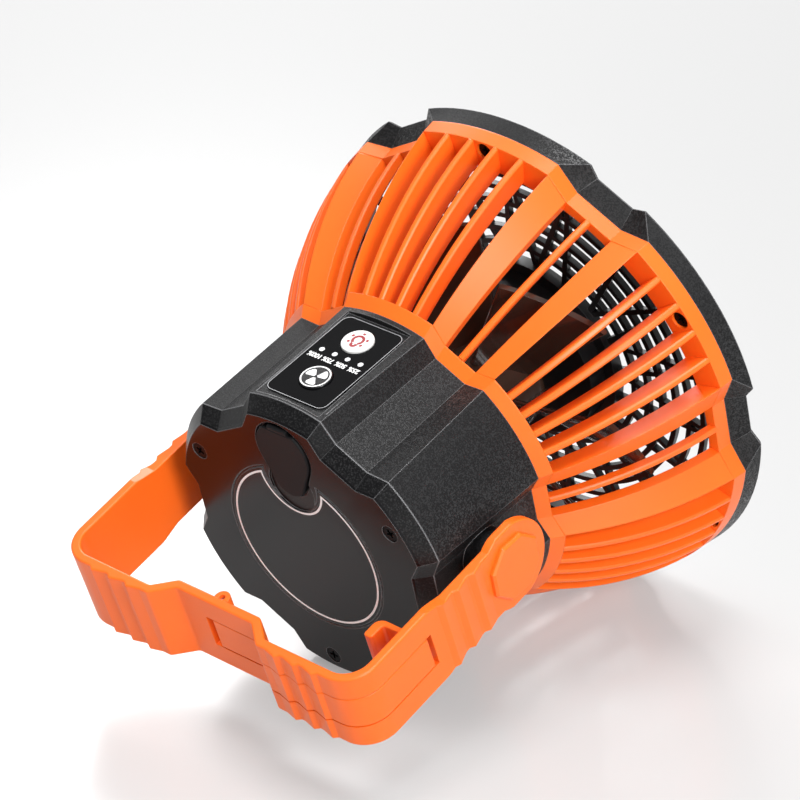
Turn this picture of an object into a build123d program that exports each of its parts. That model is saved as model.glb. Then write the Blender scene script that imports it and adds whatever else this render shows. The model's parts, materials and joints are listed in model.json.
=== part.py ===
from build123d import *
import os
from math import acos, atan2, cos, degrees, hypot, radians, sin, tan

# Portable camping fan: a black drum with the cells and the switches, an orange cage with the
# impeller, and an orange bail that is both its foot and its handle, with a hook cut out of it.
#
# Every piece is drawn on the bench, with the fan lying along Z: the face of the back cover is at
# z = 0 and the front at the top. X runs from one bail pivot to the other, and the switches look
# along -Y. At the end each piece is stood in the resting pose, lying on the drum and the cage.
#
# All lengths are in millimetres, all angles in degrees.

os.makedirs("parts", exist_ok=True)

# ---------------------------------------------------------------- driving dimensions

# The outline has six lobes with a notch between each pair
LOBES = 6
PITCH = 360 / LOBES
FIRST_LOBE = -90  # the lobe that carries the switches

# Lengths along the axis, from the back cover to the front
COVER_DEPTH = 5.0
DRUM_LENGTH = 45.3
FOOT_HEIGHT = 3.7
RIB_RUN = 51.5
RIM_HEIGHT = 5.0
BEZEL_DEPTH = 7.0

# Radius of the lobes, and half the angle that a lobe and a notch floor take
COVER_R, COVER_LOBE, COVER_FLOOR = 49.5, 14.4, 9.0
DRUM_R, DRUM_LOBE, DRUM_FLOOR = 53.9, 15.4, 7.4
NECK_R, NECK_LOBE, NECK_FLOOR = 54.5, 17.2, 6.8
FOOT_R = 57.5
RIM_R, RIM_LOBE, RIM_FLOOR = 83.2, 17.4, 6.5
RIM_FRONT_R = 83.9
BEZEL_R, BEZEL_LOBE, BEZEL_FLOOR = 85.0, 22.5, 5.0
NOTCH = 5.0  # depth of the notches in the drum and the foot of the cage
RIM_NOTCH = 6.0
BEZEL_NOTCH = 3.6

# Drum and back cover
WALL = 2.4
LIP = 1.6  # thickness of the cover's spigot
LIP_REACH = 3.0  # how far the spigot goes into the drum
LIP_GAP = 0.15
FRONT_WALL = 2.5
COVER_SCREW_PCR = 45.0
GROOVE_R = 30.1
GROOVE_WIDTH = 0.8
GROOVE_DEPTH = 0.4
BITE_R = 11.0
BITE_U = 27.0

# Screws, one size for the casings and one for the boards
SCREW_R = 1.4
SCREW_HEAD_R = 2.7
SCREW_HEAD_H = 1.6
SCREW_LENGTH = 9.0
RIM_SCREW_LENGTH = 7.5
RIM_SEAT = 2.4  # how deep the heads of the rim screws are sunk
SMALL_SCREW_R = 0.9
SMALL_HEAD_R = 1.8
SMALL_HEAD_H = 1.1
SMALL_SCREW_LENGTH = 3.6
HOLE_GAP = 0.05  # radial gap round a fixed shank
BOSS_R = 3.8
BOSS_LENGTH = 20.0
CAGE_BOSS = 5.0  # length of the bosses behind the drum's front wall
CAGE_SCREW_PCR = 38.0
RIM_SCREW_PCR = 79.7

# Ribs of the cage
RIB = 2.1
RIB_BOW = 125.0  # radius of the ribs' outer curve
RIB_DEPTH = 9.5  # from the lobes' outer curve to the round space inside
RIB_INNER = 3.4  # angles of the lobe ribs, to each side of the lobe's middle
RIB_OUTER = 10.3
RIB_EDGE = 0.5
FOOT_FLANGE = 11.0
RIM_FLANGE = 9.8
CAGE_FLOOR = 2.5

# Bezel and grille
BEZEL_LIP = 2.4
BEZEL_EDGE = 0.8
GRILLE_R = 74.8
GRILLE_BAND = 4.0
GRILLE_DEPTH = 4.2
BAR_DEPTH = 2.0
GRILLE_HUB_R = 29.0
GRILLE_BAR = 1.8
GRILLE_RINGS = 6
GRILLE_SPOKES = 18
SEAT_GAP = 0.2

# Lamp in the middle of the grille
LAMP_WALL = 1.6
LAMP_FLOOR = 1.5
LAMP_DEPTH = 11.0
LAMP_FLANGE = 2.3
LAMP_FLANGE_H = 1.0
LAMP_BOARD_H = 1.6
LED_SIZE = 3.0
LED_HEIGHT = 0.8
LED_COUNT = 12
LED_PCR = 17.0
LENS_H = 2.0
LENS_DOME = 1.2

# Motor and impeller
MOTOR_R = 13.8
MOTOR_LENGTH = 26.0
MOTOR_REACH = 9.7  # how far the motor stands out of the drum
MOTOR_CAP_H = 2.4
SHAFT_R = 1.15
SHAFT_REACH = 23.0
RUNNING = 0.05  # radial gap of a shaft in its bearing
BRACKET_WALL = 2.2
BRACKET_FLANGE_R = 25.0
BRACKET_FLANGE_H = 2.5
BRACKET_SCREW_PCR = 20.8
MOTOR_SCREW_PCR = 8.0
NOSE_R = 3.0
NOSE_H = 1.5
HUB_R = 17.5
HUB_WALL = 1.8
HUB_LENGTH = 33.0
HUB_GAP = 2.0
COLLAR_R = 3.4
COLLAR_LENGTH = 12.0
BLADES = 7
BLADE_TIP_R = 61.0
BLADE_CHORD_ROOT = 22.0
BLADE_CHORD_TIP = 37.0
BLADE_ROOT_PITCH = 42.0
BLADE_TIP_PITCH = 26.0
BLADE_THICK = 1.8
BLADE_RISE = 21.5  # from the hub's rear edge to the middle of the blades

# Switch panel on the first lobe
PANEL_U = 52.3  # height of the panel's flat above the axis
PANEL_HALF = 12.6
PANEL_START = 6.0
PANEL_END = 48.5
PANEL_WALL = 2.2
FILM = 0.35
FILM_HALF = 12.0
FILM_START = 8.5
FILM_END = 47.3
FILM_CORNER = 3.0
BUTTON_R = 5.2
BUTTON_GAP = 0.2
BUTTON_STAND = 0.7
BUTTON_FLANGE = 0.7
BUTTON_FLANGE_H = 1.0
BUTTON_TRAVEL = 0.6
BUTTON_ROUND = 0.4
LIGHT_BUTTON_Z = 38.4
FAN_BUTTON_Z = 19.2
CHARGE_LIGHTS = 4
CHARGE_LIGHT_R = 0.9
CHARGE_LIGHT_PITCH = 5.2
CHARGE_LIGHT_Z = 30.7

# Boards, port and cells
BOARD = 1.6
CONTROL_DROP = 4.8  # from the panel wall down to the control board
CONTROL_HALF = 12.5
CONTROL_START = 8.6
CONTROL_END = 47.4
POST_R = 2.2
POST_X = 9.6
POST_START = 11.2
POST_END = 44.9
SWITCH_BODY = 6.0
SWITCH_BODY_H = 1.9
SWITCH_STEM_R = 1.6
PORT_U = 36.5
PORT_HALF_WIDTH = 4.5
PORT_HEIGHT = 3.2
PORT_DEPTH = 7.0
PORT_SHELL = 0.4
STUB_DRAFT = 0.6
CHARGE_HALF = 12.0
CHARGE_LENGTH = 24.0
CHARGE_SCREW_Z = 9.0
PAD_X = 8.5
PAD_WIDTH = 5.0
PAD_DEPTH = 3.2
PAD_LENGTH = 12.0
CELL_R = 9.2
CELL_LENGTH = 65.0
CELL_GAP = 0.4
HOLDER_FLOOR = 2.0
HOLDER_WALL = 1.8
HOLDER_HEIGHT = 16.0
TAB = 0.4

# Rubber plug over the port
PLUG_TOP_U = 37.8
PLUG_TOP_R = 10.3
PLUG_TIP_U = 27.5
PLUG_TIP_R = 6.2
PLUG_STAND = 0.7
PLUG_THICK = 1.8
PLUG_GAP = 0.7
PLUG_STUB = 2.3
PLUG_STUB_GAP = 0.6
PLUG_HINGE_INSET = 1.4
PLUG_NECK = 3.8  # half the width of the neck at the hinge
PLUG_SHOULDER = 0.6
PLUG_HINGE_ROOM = 0.3
FINGER_R = 9.0
FINGER_U = 24.0
FINGER_DEPTH = 0.8

# Bail: a flat band bent to a U, on two pivots
PIVOT_Z = 25.5
BAIL_DROP = 5.0  # how far the bail hangs below the fan's axis
ARM_OUT = 61.2
BAND = 3.15
BAR_OUT = 70.6
BAIL_CORNER = 10.9
BAND_HALF = 14.3
BAND_EDGE = 0.7
ARM_EDGE = 0.5
ARM_HALF = 12.3
ARM_STEP_START = 29.0
ARM_STEP_END = 37.0
DISC_R = 14.75
JOG_OUT = 64.6
JOG_HALF = 15.5
JOG_RUN = 7.0
JOG_ROUND = 2.0
TEETH = 3
TOOTH_PITCH = 7.4
TOOTH = 1.1
TOOTH_ROUND = 0.5
BAR_TOOTH = 29.6
ARM_TOOTH = 15.2
SPAN_MARGIN = 2.0

# Pivots
PIVOT_BOSS_R = 8.5
ARM_GAP = 0.3
SPIGOT_R = 4.9
PIVOT_GAP = 0.1
DISC_RECESS = 1.2
WASHER_R = 7.5
WASHER = 0.8
PIVOT_HEAD_R = 3.0
PIVOT_HEAD_H = 1.1
CAP_SKIRT_R = 8.9
CAP_SKIRT = 1.0
CAP_R = 11.0
CAP_SIDES = 8
CAP_HEIGHT = 1.7
CAP_BEVEL = 0.7
CAP_HOLLOW = 0.9

# Hook, cut out of the bail and pinned at the middle of the crossbar
HOOK_HALF = 5.8
HOOK_GAP = 0.3
HOOK_HEEL = 3.0
SLOT_HEEL = 5.8
HOOK_END = 39.4
SLOT_END_GAP = 1.8
HOOK_PLATE = 2.0
CURL_OUT = 42.3
CURL_IN = 45.6
CURL_TOP = 47.0
CURL_ROUND = 3.2
TIP_ROUND = 1.2
HOOK_EDGE = 0.4
PIN_S = 60.6
PIN_R = 1.0
PIN_GAP = 0.06
PIN_INSET = 1.2
BARREL_R = 2.6

# ---------------------------------------------------------------- worked-out sizes

DRUM_Z = COVER_DEPTH
NECK_Z = DRUM_Z + DRUM_LENGTH
FOOT_Z = NECK_Z + FOOT_HEIGHT
RIM_Z = FOOT_Z + RIB_RUN
BEZEL_Z = RIM_Z + RIM_HEIGHT
FRONT_Z = BEZEL_Z + BEZEL_DEPTH

COVER_SECTION = (COVER_R, NOTCH, COVER_LOBE, COVER_FLOOR)
DRUM_SECTION = (DRUM_R, NOTCH, DRUM_LOBE, DRUM_FLOOR)
NECK_SECTION = (NECK_R, NOTCH, NECK_LOBE, NECK_FLOOR)
FOOT_SECTION = (FOOT_R, NOTCH, NECK_LOBE, NECK_FLOOR)
RIM_SECTION = (RIM_R, RIM_NOTCH, RIM_LOBE, RIM_FLOOR)
RIM_FRONT_SECTION = (RIM_FRONT_R, RIM_NOTCH, RIM_LOBE, RIM_FLOOR)
BEZEL_SECTION = (BEZEL_R, BEZEL_NOTCH, BEZEL_LOBE, BEZEL_FLOOR)

UP = (Align.CENTER, Align.CENTER, Align.MIN)
DOWN = (Align.CENTER, Align.CENTER, Align.MAX)
OUTWARD = (Align.MIN, Align.CENTER, Align.MIN)

# Planes on the bench
BACK = Plane(origin=(0, 0, 0), x_dir=(1, 0, 0), z_dir=(0, 0, -1))  # x right, y to the switches
PANEL = Plane(origin=(0, -PANEL_U, 0), x_dir=(1, 0, 0), z_dir=(0, -1, 0))  # y along the axis
BAIL_TURN = radians(BAIL_DROP)
BAIL = Plane(
    origin=(0, 0, PIVOT_Z), x_dir=(1, 0, 0), z_dir=(0, cos(BAIL_TURN), sin(BAIL_TURN))
)  # y runs from the pivots to the crossbar, z across the band
BAIL_SIDE = Plane(origin=BAIL.origin, x_dir=BAIL.y_dir, z_dir=(1, 0, 0))  # y across the band


# ---------------------------------------------------------------- helpers


def polar(radius, angle):
    """Return the point at this radius and angle on the bench."""
    return (radius * cos(radians(angle)), radius * sin(radians(angle)))


def radial(angle):
    """Return the plane through the axis at this angle, with x outwards and y forwards."""
    return Plane(
        origin=(0, 0, 0),
        x_dir=(cos(radians(angle)), sin(radians(angle)), 0),
        z_dir=(sin(radians(angle)), -cos(radians(angle)), 0),
    )


def side_plane(side, x):
    """Return the plane across the pivot axis at this distance, looking outwards on one side."""
    return Plane(origin=(side * x, 0, PIVOT_Z), x_dir=(0, side, 0), z_dir=(side, 0, 0))


def outline(section, inset):
    """Draw the closed six-lobed outline: an arc on each lobe, then down, across and up a notch."""
    radius, notch, lobe_half, floor_half = section
    outer = radius - inset
    for index in range(LOBES):
        lobe = FIRST_LOBE + index * PITCH
        notch_middle = lobe + PITCH / 2
        CenterArc((0, 0), outer, lobe - lobe_half, 2 * lobe_half)
        Polyline(
            polar(outer, lobe + lobe_half),
            polar(outer - notch, notch_middle - floor_half),
            polar(outer - notch, notch_middle + floor_half),
            polar(outer, lobe + PITCH - lobe_half),
        )


def lobed_loft(low, low_section, high, high_section, inset=0, mode=Mode.ADD):
    """Loft between two six-lobed outlines, both drawn in by the same inset."""
    with BuildSketch(Plane.XY.offset(low)) as base:
        with BuildLine():
            outline(low_section, inset)
        make_face()
    with BuildSketch(Plane.XY.offset(high)) as top:
        with BuildLine():
            outline(high_section, inset)
        make_face()
    loft([base.sketch, top.sketch], ruled=True, mode=mode)


def screw(radius, length, head_r, head_h):
    """Add a pan-head screw at each open location: head above the plane, shank below it."""
    Cylinder(head_r, head_h, align=UP)
    Cylinder(radius, length, align=DOWN)
    for turn in (0, 90):
        with Locations((0, 0, head_h)):
            Box(head_r * 1.2, head_r * 0.3, head_h, rotation=(0, 0, turn), mode=Mode.SUBTRACT)


def casing_screw():
    """Add one of the screws that hold the casings together."""
    screw(SCREW_R, SCREW_LENGTH, SCREW_HEAD_R, SCREW_HEAD_H)


def small_screw():
    """Add one of the screws that hold the boards."""
    screw(SMALL_SCREW_R, SMALL_SCREW_LENGTH, SMALL_HEAD_R, SMALL_HEAD_H)


def finish(piece, name):
    """Stand a finished piece in the resting pose, label it and write it out."""
    piece.part.move(STAND)
    piece.part.label = name
    export_step(piece.part, f"parts/{name}.step")


# ---------------------------------------------------------------- rear cage

# The cage is one moulding, drawn as its foot, its rim and the ribs that stand between them. A rib
# is the strip between the outer curve and the round space inside the cage.
FOOT_BORE = FOOT_R - FOOT_FLANGE
RIM_BORE = RIM_R - RIM_FLANGE


def bow_centre(foot_drop, rim_drop):
    """Return the centre of a rib's curve, as radius and height, this far below the lobes' curve."""
    rise = RIM_R - rim_drop - FOOT_R + foot_drop
    chord = hypot(RIB_RUN, rise)
    reach = (RIB_BOW**2 - chord**2 / 4) ** 0.5
    middle_r = (FOOT_R - foot_drop + RIM_R - rim_drop) / 2
    return (middle_r - reach * RIB_RUN / chord, (FOOT_Z + RIM_Z) / 2 + reach * rise / chord)


def rib_outline(foot_drop, rim_drop):
    """Draw a rib on a plane through the axis, its outer curve this far below the lobes' curve."""
    start = (FOOT_R - foot_drop, FOOT_Z)
    end = (RIM_R - rim_drop, RIM_Z)
    inner_start = (FOOT_R - RIB_DEPTH, FOOT_Z)
    inner_end = (RIM_R - RIB_DEPTH, RIM_Z)
    RadiusArc(start, end, -RIB_BOW)
    RadiusArc(inner_start, inner_end, -RIB_BOW)
    Line(start, inner_start)
    Line(end, inner_end)


with BuildPart() as lobe_rib:
    with BuildSketch(radial(0)):
        with BuildLine():
            rib_outline(0, 0)
        make_face()
    extrude(amount=RIB / 2, both=True)
    chamfer(lobe_rib.edges().filter_by(GeomType.CIRCLE), RIB_EDGE)

with BuildPart() as notch_rib:
    with BuildSketch(radial(0)):
        with BuildLine():
            rib_outline(NOTCH, RIM_NOTCH)
        make_face()
    extrude(amount=RIB / 2, both=True)
    chamfer(notch_rib.edges().filter_by(GeomType.CIRCLE), RIB_EDGE)

# The broad rib slopes from the corner of a lobe down to the corner of the notch floor
with BuildPart() as corner_rib:
    with BuildSketch(radial(RIM_LOBE)) as lobe_side:
        with BuildLine():
            rib_outline(0, 0)
        make_face()
    with BuildSketch(radial(PITCH / 2 - NECK_FLOOR)) as notch_side:
        with BuildLine():
            rib_outline(NOTCH, RIM_NOTCH)
        make_face()
    loft([lobe_side.sketch, notch_side.sketch], ruled=True)

with BuildPart() as rib_group:
    for angle in (RIB_INNER, RIB_OUTER):
        for side in (-1, 1):
            add(lobe_rib.part, rotation=(0, 0, side * angle))
    add(notch_rib.part, rotation=(0, 0, PITCH / 2))
    add(corner_rib.part)
    add(mirror(corner_rib.part, about=Plane.XZ, mode=Mode.PRIVATE))

with BuildPart() as cage_ribs:
    with PolarLocations(0, LOBES, start_angle=FIRST_LOBE):
        add(rib_group.part)

with BuildPart() as cage_foot:
    lobed_loft(NECK_Z, NECK_SECTION, FOOT_Z, FOOT_SECTION)
    with BuildSketch(Plane.XY.offset(NECK_Z + CAGE_FLOOR)):
        Circle(FOOT_BORE)
    extrude(amount=FOOT_HEIGHT, mode=Mode.SUBTRACT)
    # The motor's hole, and clearance holes for the screws outside and inside the motor bracket
    with BuildSketch(Plane.XY.offset(NECK_Z)):
        Circle(MOTOR_R + SEAT_GAP)
        with PolarLocations(CAGE_SCREW_PCR, 3, start_angle=FIRST_LOBE):
            Circle(SCREW_R + HOLE_GAP)
        with PolarLocations(BRACKET_SCREW_PCR, 3, start_angle=FIRST_LOBE):
            Circle(SCREW_R + HOLE_GAP)
    extrude(amount=CAGE_FLOOR, mode=Mode.SUBTRACT)

with BuildPart() as cage_rim:
    lobed_loft(RIM_Z, RIM_SECTION, BEZEL_Z, RIM_FRONT_SECTION)
    with BuildSketch(Plane.XY.offset(RIM_Z)):
        Circle(RIM_BORE)
    extrude(amount=RIM_HEIGHT, mode=Mode.SUBTRACT)
    # Clearance holes for the rim screws, with a pocket for each head
    with BuildSketch(Plane.XY.offset(RIM_Z)):
        with PolarLocations(RIM_SCREW_PCR, LOBES, start_angle=FIRST_LOBE):
            Circle(SCREW_R + HOLE_GAP)
    extrude(amount=RIM_HEIGHT, mode=Mode.SUBTRACT)
    with BuildSketch(Plane.XY.offset(RIM_Z)):
        with PolarLocations(RIM_SCREW_PCR, LOBES, start_angle=FIRST_LOBE):
            Circle(SCREW_HEAD_R + SEAT_GAP)
    extrude(amount=RIM_SEAT, mode=Mode.SUBTRACT)

# ---------------------------------------------------------------- bezel and grille

BEZEL_FRONT_SECTION = (BEZEL_R - BEZEL_EDGE, BEZEL_NOTCH, BEZEL_LOBE, BEZEL_FLOOR)
GRILLE_Z = BEZEL_Z + SEAT_GAP
GRILLE_FRONT = GRILLE_Z + GRILLE_DEPTH
LIP_BACK = GRILLE_FRONT + SEAT_GAP
LIP_BORE = GRILLE_R - BEZEL_LIP

with BuildPart() as front_bezel:
    lobed_loft(BEZEL_Z, RIM_FRONT_SECTION, FRONT_Z - BEZEL_EDGE, BEZEL_SECTION)
    lobed_loft(FRONT_Z - BEZEL_EDGE, BEZEL_SECTION, FRONT_Z, BEZEL_FRONT_SECTION)
    with BuildSketch(Plane.XY.offset(BEZEL_Z)):
        Circle(GRILLE_R + SEAT_GAP)
    extrude(amount=LIP_BACK - BEZEL_Z, mode=Mode.SUBTRACT)
    with BuildSketch(Plane.XY.offset(LIP_BACK)):
        Circle(LIP_BORE)
    extrude(amount=FRONT_Z - LIP_BACK, mode=Mode.SUBTRACT)
    with BuildSketch(Plane.XY.offset(BEZEL_Z)):
        with PolarLocations(RIM_SCREW_PCR, LOBES, start_angle=FIRST_LOBE):
            Circle(SCREW_R + HOLE_GAP)
    extrude(amount=RIM_SEAT + RIM_SCREW_LENGTH - RIM_HEIGHT + HOLE_GAP, mode=Mode.SUBTRACT)

BAND_INNER = GRILLE_R - GRILLE_BAND
HUB_BAND_R = GRILLE_HUB_R + GRILLE_BAND
RING_STEP = (BAND_INNER - HUB_BAND_R) / (GRILLE_RINGS + 1)

with BuildPart() as front_grille:
    with BuildSketch(Plane.XY.offset(GRILLE_Z)):
        # Bands and rings from the outside in, each one cutting away what lies inside it
        Circle(GRILLE_R)
        Circle(BAND_INNER, mode=Mode.SUBTRACT)
        for index in range(GRILLE_RINGS, 0, -1):
            ring_r = HUB_BAND_R + index * RING_STEP
            Circle(ring_r + GRILLE_BAR / 2)
            Circle(ring_r - GRILLE_BAR / 2, mode=Mode.SUBTRACT)
        Circle(HUB_BAND_R)
        # The spokes run in a zigzag between the two bands
        with BuildLine():
            for index in range(GRILLE_SPOKES):
                inner_end = polar(HUB_BAND_R - GRILLE_BAND / 2, index * 360 / GRILLE_SPOKES)
                outer_end = polar(BAND_INNER + GRILLE_BAND / 2, (index + 0.5) * 360 / GRILLE_SPOKES)
                next_end = polar(HUB_BAND_R - GRILLE_BAND / 2, (index + 1) * 360 / GRILLE_SPOKES)
                Line(inner_end, outer_end)
                Line(outer_end, next_end)
        trace(line_width=GRILLE_BAR)
        Circle(GRILLE_R, mode=Mode.INTERSECT)
        Circle(GRILLE_HUB_R, mode=Mode.SUBTRACT)
    extrude(amount=GRILLE_DEPTH)
    # Between the two bands the bars are shallower, flush with the front
    with BuildSketch(Plane.XY.offset(GRILLE_Z)):
        Circle(BAND_INNER)
        Circle(HUB_BAND_R, mode=Mode.SUBTRACT)
    extrude(amount=GRILLE_DEPTH - BAR_DEPTH, mode=Mode.SUBTRACT)

with BuildPart() as rim_screws:
    with Locations(Plane(origin=(0, 0, RIM_Z + RIM_SEAT), x_dir=(1, 0, 0), z_dir=(0, 0, -1))):
        with PolarLocations(RIM_SCREW_PCR, LOBES, start_angle=FIRST_LOBE):
            screw(SCREW_R, RIM_SCREW_LENGTH, SCREW_HEAD_R, SCREW_HEAD_H)

# ---------------------------------------------------------------- lamp

LAMP_R = GRILLE_HUB_R - SEAT_GAP
LAMP_Z = GRILLE_FRONT - LAMP_DEPTH
LAMP_FLOOR_Z = LAMP_Z + LAMP_FLOOR
LAMP_FRONT = GRILLE_FRONT + LAMP_FLANGE_H
LENS_R = LAMP_R - LAMP_WALL - LIP_GAP
LENS_BOW = (LENS_R**2 + LENS_DOME**2) / (2 * LENS_DOME)  # radius of the lens's face

with BuildPart() as lamp_cup:
    with BuildSketch(Plane.XY.offset(LAMP_Z)):
        Circle(LAMP_R)
    extrude(amount=LAMP_DEPTH)
    with BuildSketch(Plane.XY.offset(GRILLE_FRONT)):
        Circle(GRILLE_HUB_R + LAMP_FLANGE)
    extrude(amount=LAMP_FLANGE_H)
    with BuildSketch(Plane.XY.offset(LAMP_FLOOR_Z)):
        Circle(LAMP_R - LAMP_WALL)
    extrude(amount=LAMP_DEPTH, mode=Mode.SUBTRACT)

with BuildPart() as lamp_board:
    with BuildSketch(Plane.XY.offset(LAMP_FLOOR_Z)):
        Circle(LENS_R)
    extrude(amount=LAMP_BOARD_H)

with BuildPart() as lamp_leds:
    with Locations((0, 0, LAMP_FLOOR_Z + LAMP_BOARD_H)):
        with PolarLocations(LED_PCR, LED_COUNT):
            Box(LED_SIZE, LED_SIZE, LED_HEIGHT, align=UP)

with BuildPart() as lamp_lens:
    with BuildSketch(Plane.XZ):
        with BuildLine():
            RadiusArc((0, LAMP_FRONT + LENS_DOME), (LENS_R, LAMP_FRONT), LENS_BOW)
            Polyline(
                (LENS_R, LAMP_FRONT),
                (LENS_R, LAMP_FRONT - LENS_H),
                (0, LAMP_FRONT - LENS_H),
                (0, LAMP_FRONT + LENS_DOME),
            )
        make_face()
    revolve(axis=Axis.Z)

# ---------------------------------------------------------------- motor and impeller

MOTOR_TOP = NECK_Z + MOTOR_REACH
MOTOR_Z = MOTOR_TOP - MOTOR_LENGTH
CAGE_FLOOR_Z = NECK_Z + CAGE_FLOOR
BRACKET_TOP = MOTOR_TOP + BRACKET_WALL
BRACKET_R = MOTOR_R + SEAT_GAP + BRACKET_WALL

with BuildPart() as motor_can:
    with BuildSketch(Plane.XY.offset(MOTOR_Z)):
        Circle(MOTOR_R)
    extrude(amount=MOTOR_LENGTH)
    fillet(motor_can.edges().filter_by(GeomType.CIRCLE), BAND_EDGE)
    with BuildSketch(Plane.XY.offset(MOTOR_TOP)):
        Circle(NOSE_R)
    extrude(amount=NOSE_H)
    with BuildSketch(Plane.XY.offset(MOTOR_Z)):
        Circle(SHAFT_R + RUNNING)
    extrude(amount=MOTOR_LENGTH + NOSE_H, mode=Mode.SUBTRACT)
    with BuildSketch(Plane.XY.offset(MOTOR_TOP)):
        with PolarLocations(MOTOR_SCREW_PCR, 2):
            Circle(SMALL_SCREW_R + HOLE_GAP)
    extrude(amount=-SMALL_SCREW_LENGTH, mode=Mode.SUBTRACT)

with BuildPart() as motor_end_cap:
    with BuildSketch(Plane.XY.offset(MOTOR_Z)):
        Circle(MOTOR_R - MOTOR_CAP_H / 2)
    extrude(amount=-MOTOR_CAP_H)
    with Locations((0, 0, MOTOR_Z - MOTOR_CAP_H)):
        with PolarLocations(MOTOR_SCREW_PCR, 2, start_angle=90):
            Box(TAB, MOTOR_CAP_H, 2 * MOTOR_CAP_H, align=DOWN)
    with BuildSketch(Plane.XY.offset(MOTOR_Z)):
        Circle(SHAFT_R + RUNNING)
    extrude(amount=-MOTOR_CAP_H, mode=Mode.SUBTRACT)

with BuildPart() as motor_bracket:
    with BuildSketch(Plane.XY.offset(CAGE_FLOOR_Z)):
        Circle(BRACKET_FLANGE_R)
    extrude(amount=BRACKET_FLANGE_H)
    with BuildSketch(Plane.XY.offset(CAGE_FLOOR_Z)):
        Circle(BRACKET_R)
    extrude(amount=BRACKET_TOP - CAGE_FLOOR_Z)
    with BuildSketch(Plane.XY.offset(CAGE_FLOOR_Z)):
        Circle(MOTOR_R + SEAT_GAP)
    extrude(amount=MOTOR_TOP - CAGE_FLOOR_Z, mode=Mode.SUBTRACT)
    with BuildSketch(Plane.XY.offset(MOTOR_TOP)):
        Circle(NOSE_R + SEAT_GAP)
        with PolarLocations(MOTOR_SCREW_PCR, 2):
            Circle(SMALL_SCREW_R + HOLE_GAP)
    extrude(amount=BRACKET_WALL, mode=Mode.SUBTRACT)
    with BuildSketch(Plane.XY.offset(CAGE_FLOOR_Z)):
        with PolarLocations(BRACKET_SCREW_PCR, 3, start_angle=FIRST_LOBE):
            Circle(SCREW_R + HOLE_GAP)
    extrude(amount=BRACKET_FLANGE_H, mode=Mode.SUBTRACT)

with BuildPart() as bracket_screws:
    with Locations((0, 0, CAGE_FLOOR_Z + BRACKET_FLANGE_H)):
        with PolarLocations(BRACKET_SCREW_PCR, 3, start_angle=FIRST_LOBE):
            casing_screw()

with BuildPart() as cage_screws:
    with Locations((0, 0, CAGE_FLOOR_Z)):
        with PolarLocations(CAGE_SCREW_PCR, 3, start_angle=FIRST_LOBE):
            casing_screw()

with BuildPart() as motor_screws:
    with Locations((0, 0, BRACKET_TOP)):
        with PolarLocations(MOTOR_SCREW_PCR, 2):
            small_screw()

SHAFT_END = MOTOR_TOP + SHAFT_REACH
HUB_Z = BRACKET_TOP + HUB_GAP
HUB_TOP = HUB_Z + HUB_LENGTH
HUB_BOSS_R = COLLAR_R + HUB_WALL
BLADE_Z = HUB_Z + BLADE_RISE

with BuildPart() as motor_shaft:
    with BuildSketch(Plane.XY.offset(MOTOR_Z - MOTOR_CAP_H)):
        Circle(SHAFT_R)
    extrude(amount=SHAFT_END - MOTOR_Z + MOTOR_CAP_H)

with BuildPart() as impeller_collar:
    with BuildSketch(Plane.XY.offset(HUB_Z)):
        Circle(COLLAR_R)
        Circle(SHAFT_R, mode=Mode.SUBTRACT)
    extrude(amount=COLLAR_LENGTH)


def blade_plane(radius):
    """Return the plane across a blade at this radius, with x along the rim and y forwards."""
    return Plane(origin=(radius, 0, BLADE_Z), x_dir=(0, 1, 0), z_dir=(1, 0, 0))


with BuildPart() as blade:
    for share in (0, 0.5, 1.15):
        blade_r = HUB_R - HUB_WALL / 2 + share * (BLADE_TIP_R - HUB_R)
        with BuildSketch(blade_plane(blade_r)):
            chord = BLADE_CHORD_ROOT + share * (BLADE_CHORD_TIP - BLADE_CHORD_ROOT)
            pitch = BLADE_ROOT_PITCH + share * (BLADE_TIP_PITCH - BLADE_ROOT_PITCH)
            SlotOverall(chord, BLADE_THICK, rotation=pitch)
    loft()
    # The tips follow the round space inside the cage
    with BuildSketch(Plane.XY):
        Circle(BLADE_TIP_R)
    extrude(amount=FRONT_Z, mode=Mode.INTERSECT)

with BuildPart() as impeller:
    with BuildSketch(Plane.XY.offset(HUB_Z)):
        Circle(HUB_R)
    extrude(amount=HUB_LENGTH)
    fillet(impeller.edges().sort_by(Axis.Z)[-1], 2 * HUB_WALL)
    with BuildSketch(Plane.XY.offset(HUB_Z)):
        Circle(HUB_R - HUB_WALL)
        Circle(HUB_BOSS_R, mode=Mode.SUBTRACT)
    extrude(amount=HUB_LENGTH - 2 * HUB_WALL, mode=Mode.SUBTRACT)
    with PolarLocations(0, BLADES):
        add(blade.part)
    with BuildSketch(Plane.XY.offset(HUB_Z)):
        Circle(COLLAR_R)
    extrude(amount=COLLAR_LENGTH, mode=Mode.SUBTRACT)
    with BuildSketch(Plane.XY.offset(HUB_Z + COLLAR_LENGTH)):
        Circle(SHAFT_R + RUNNING)
    extrude(amount=SHAFT_END + SEAT_GAP - HUB_Z - COLLAR_LENGTH, mode=Mode.SUBTRACT)

# ---------------------------------------------------------------- drum

WALL_U = PANEL_U - PANEL_WALL  # inner face of the panel wall
DRUM_FRONT = NECK_Z - FRONT_WALL
LIP_TOP = DRUM_Z + LIP_REACH
BOSS_Z = DRUM_Z + 1.0
BOARD_U = WALL_U - CONTROL_DROP  # outer face of the control board
BOSS_FACE = ARM_OUT - BAND - ARM_GAP
RECESS_FLOOR = ARM_OUT - DISC_RECESS
SPIGOT_END = RECESS_FLOOR + PIVOT_GAP
PIVOT_BOSS_FOOT = (NECK_R - NOTCH) * cos(radians(NECK_FLOOR)) - WALL

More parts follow.
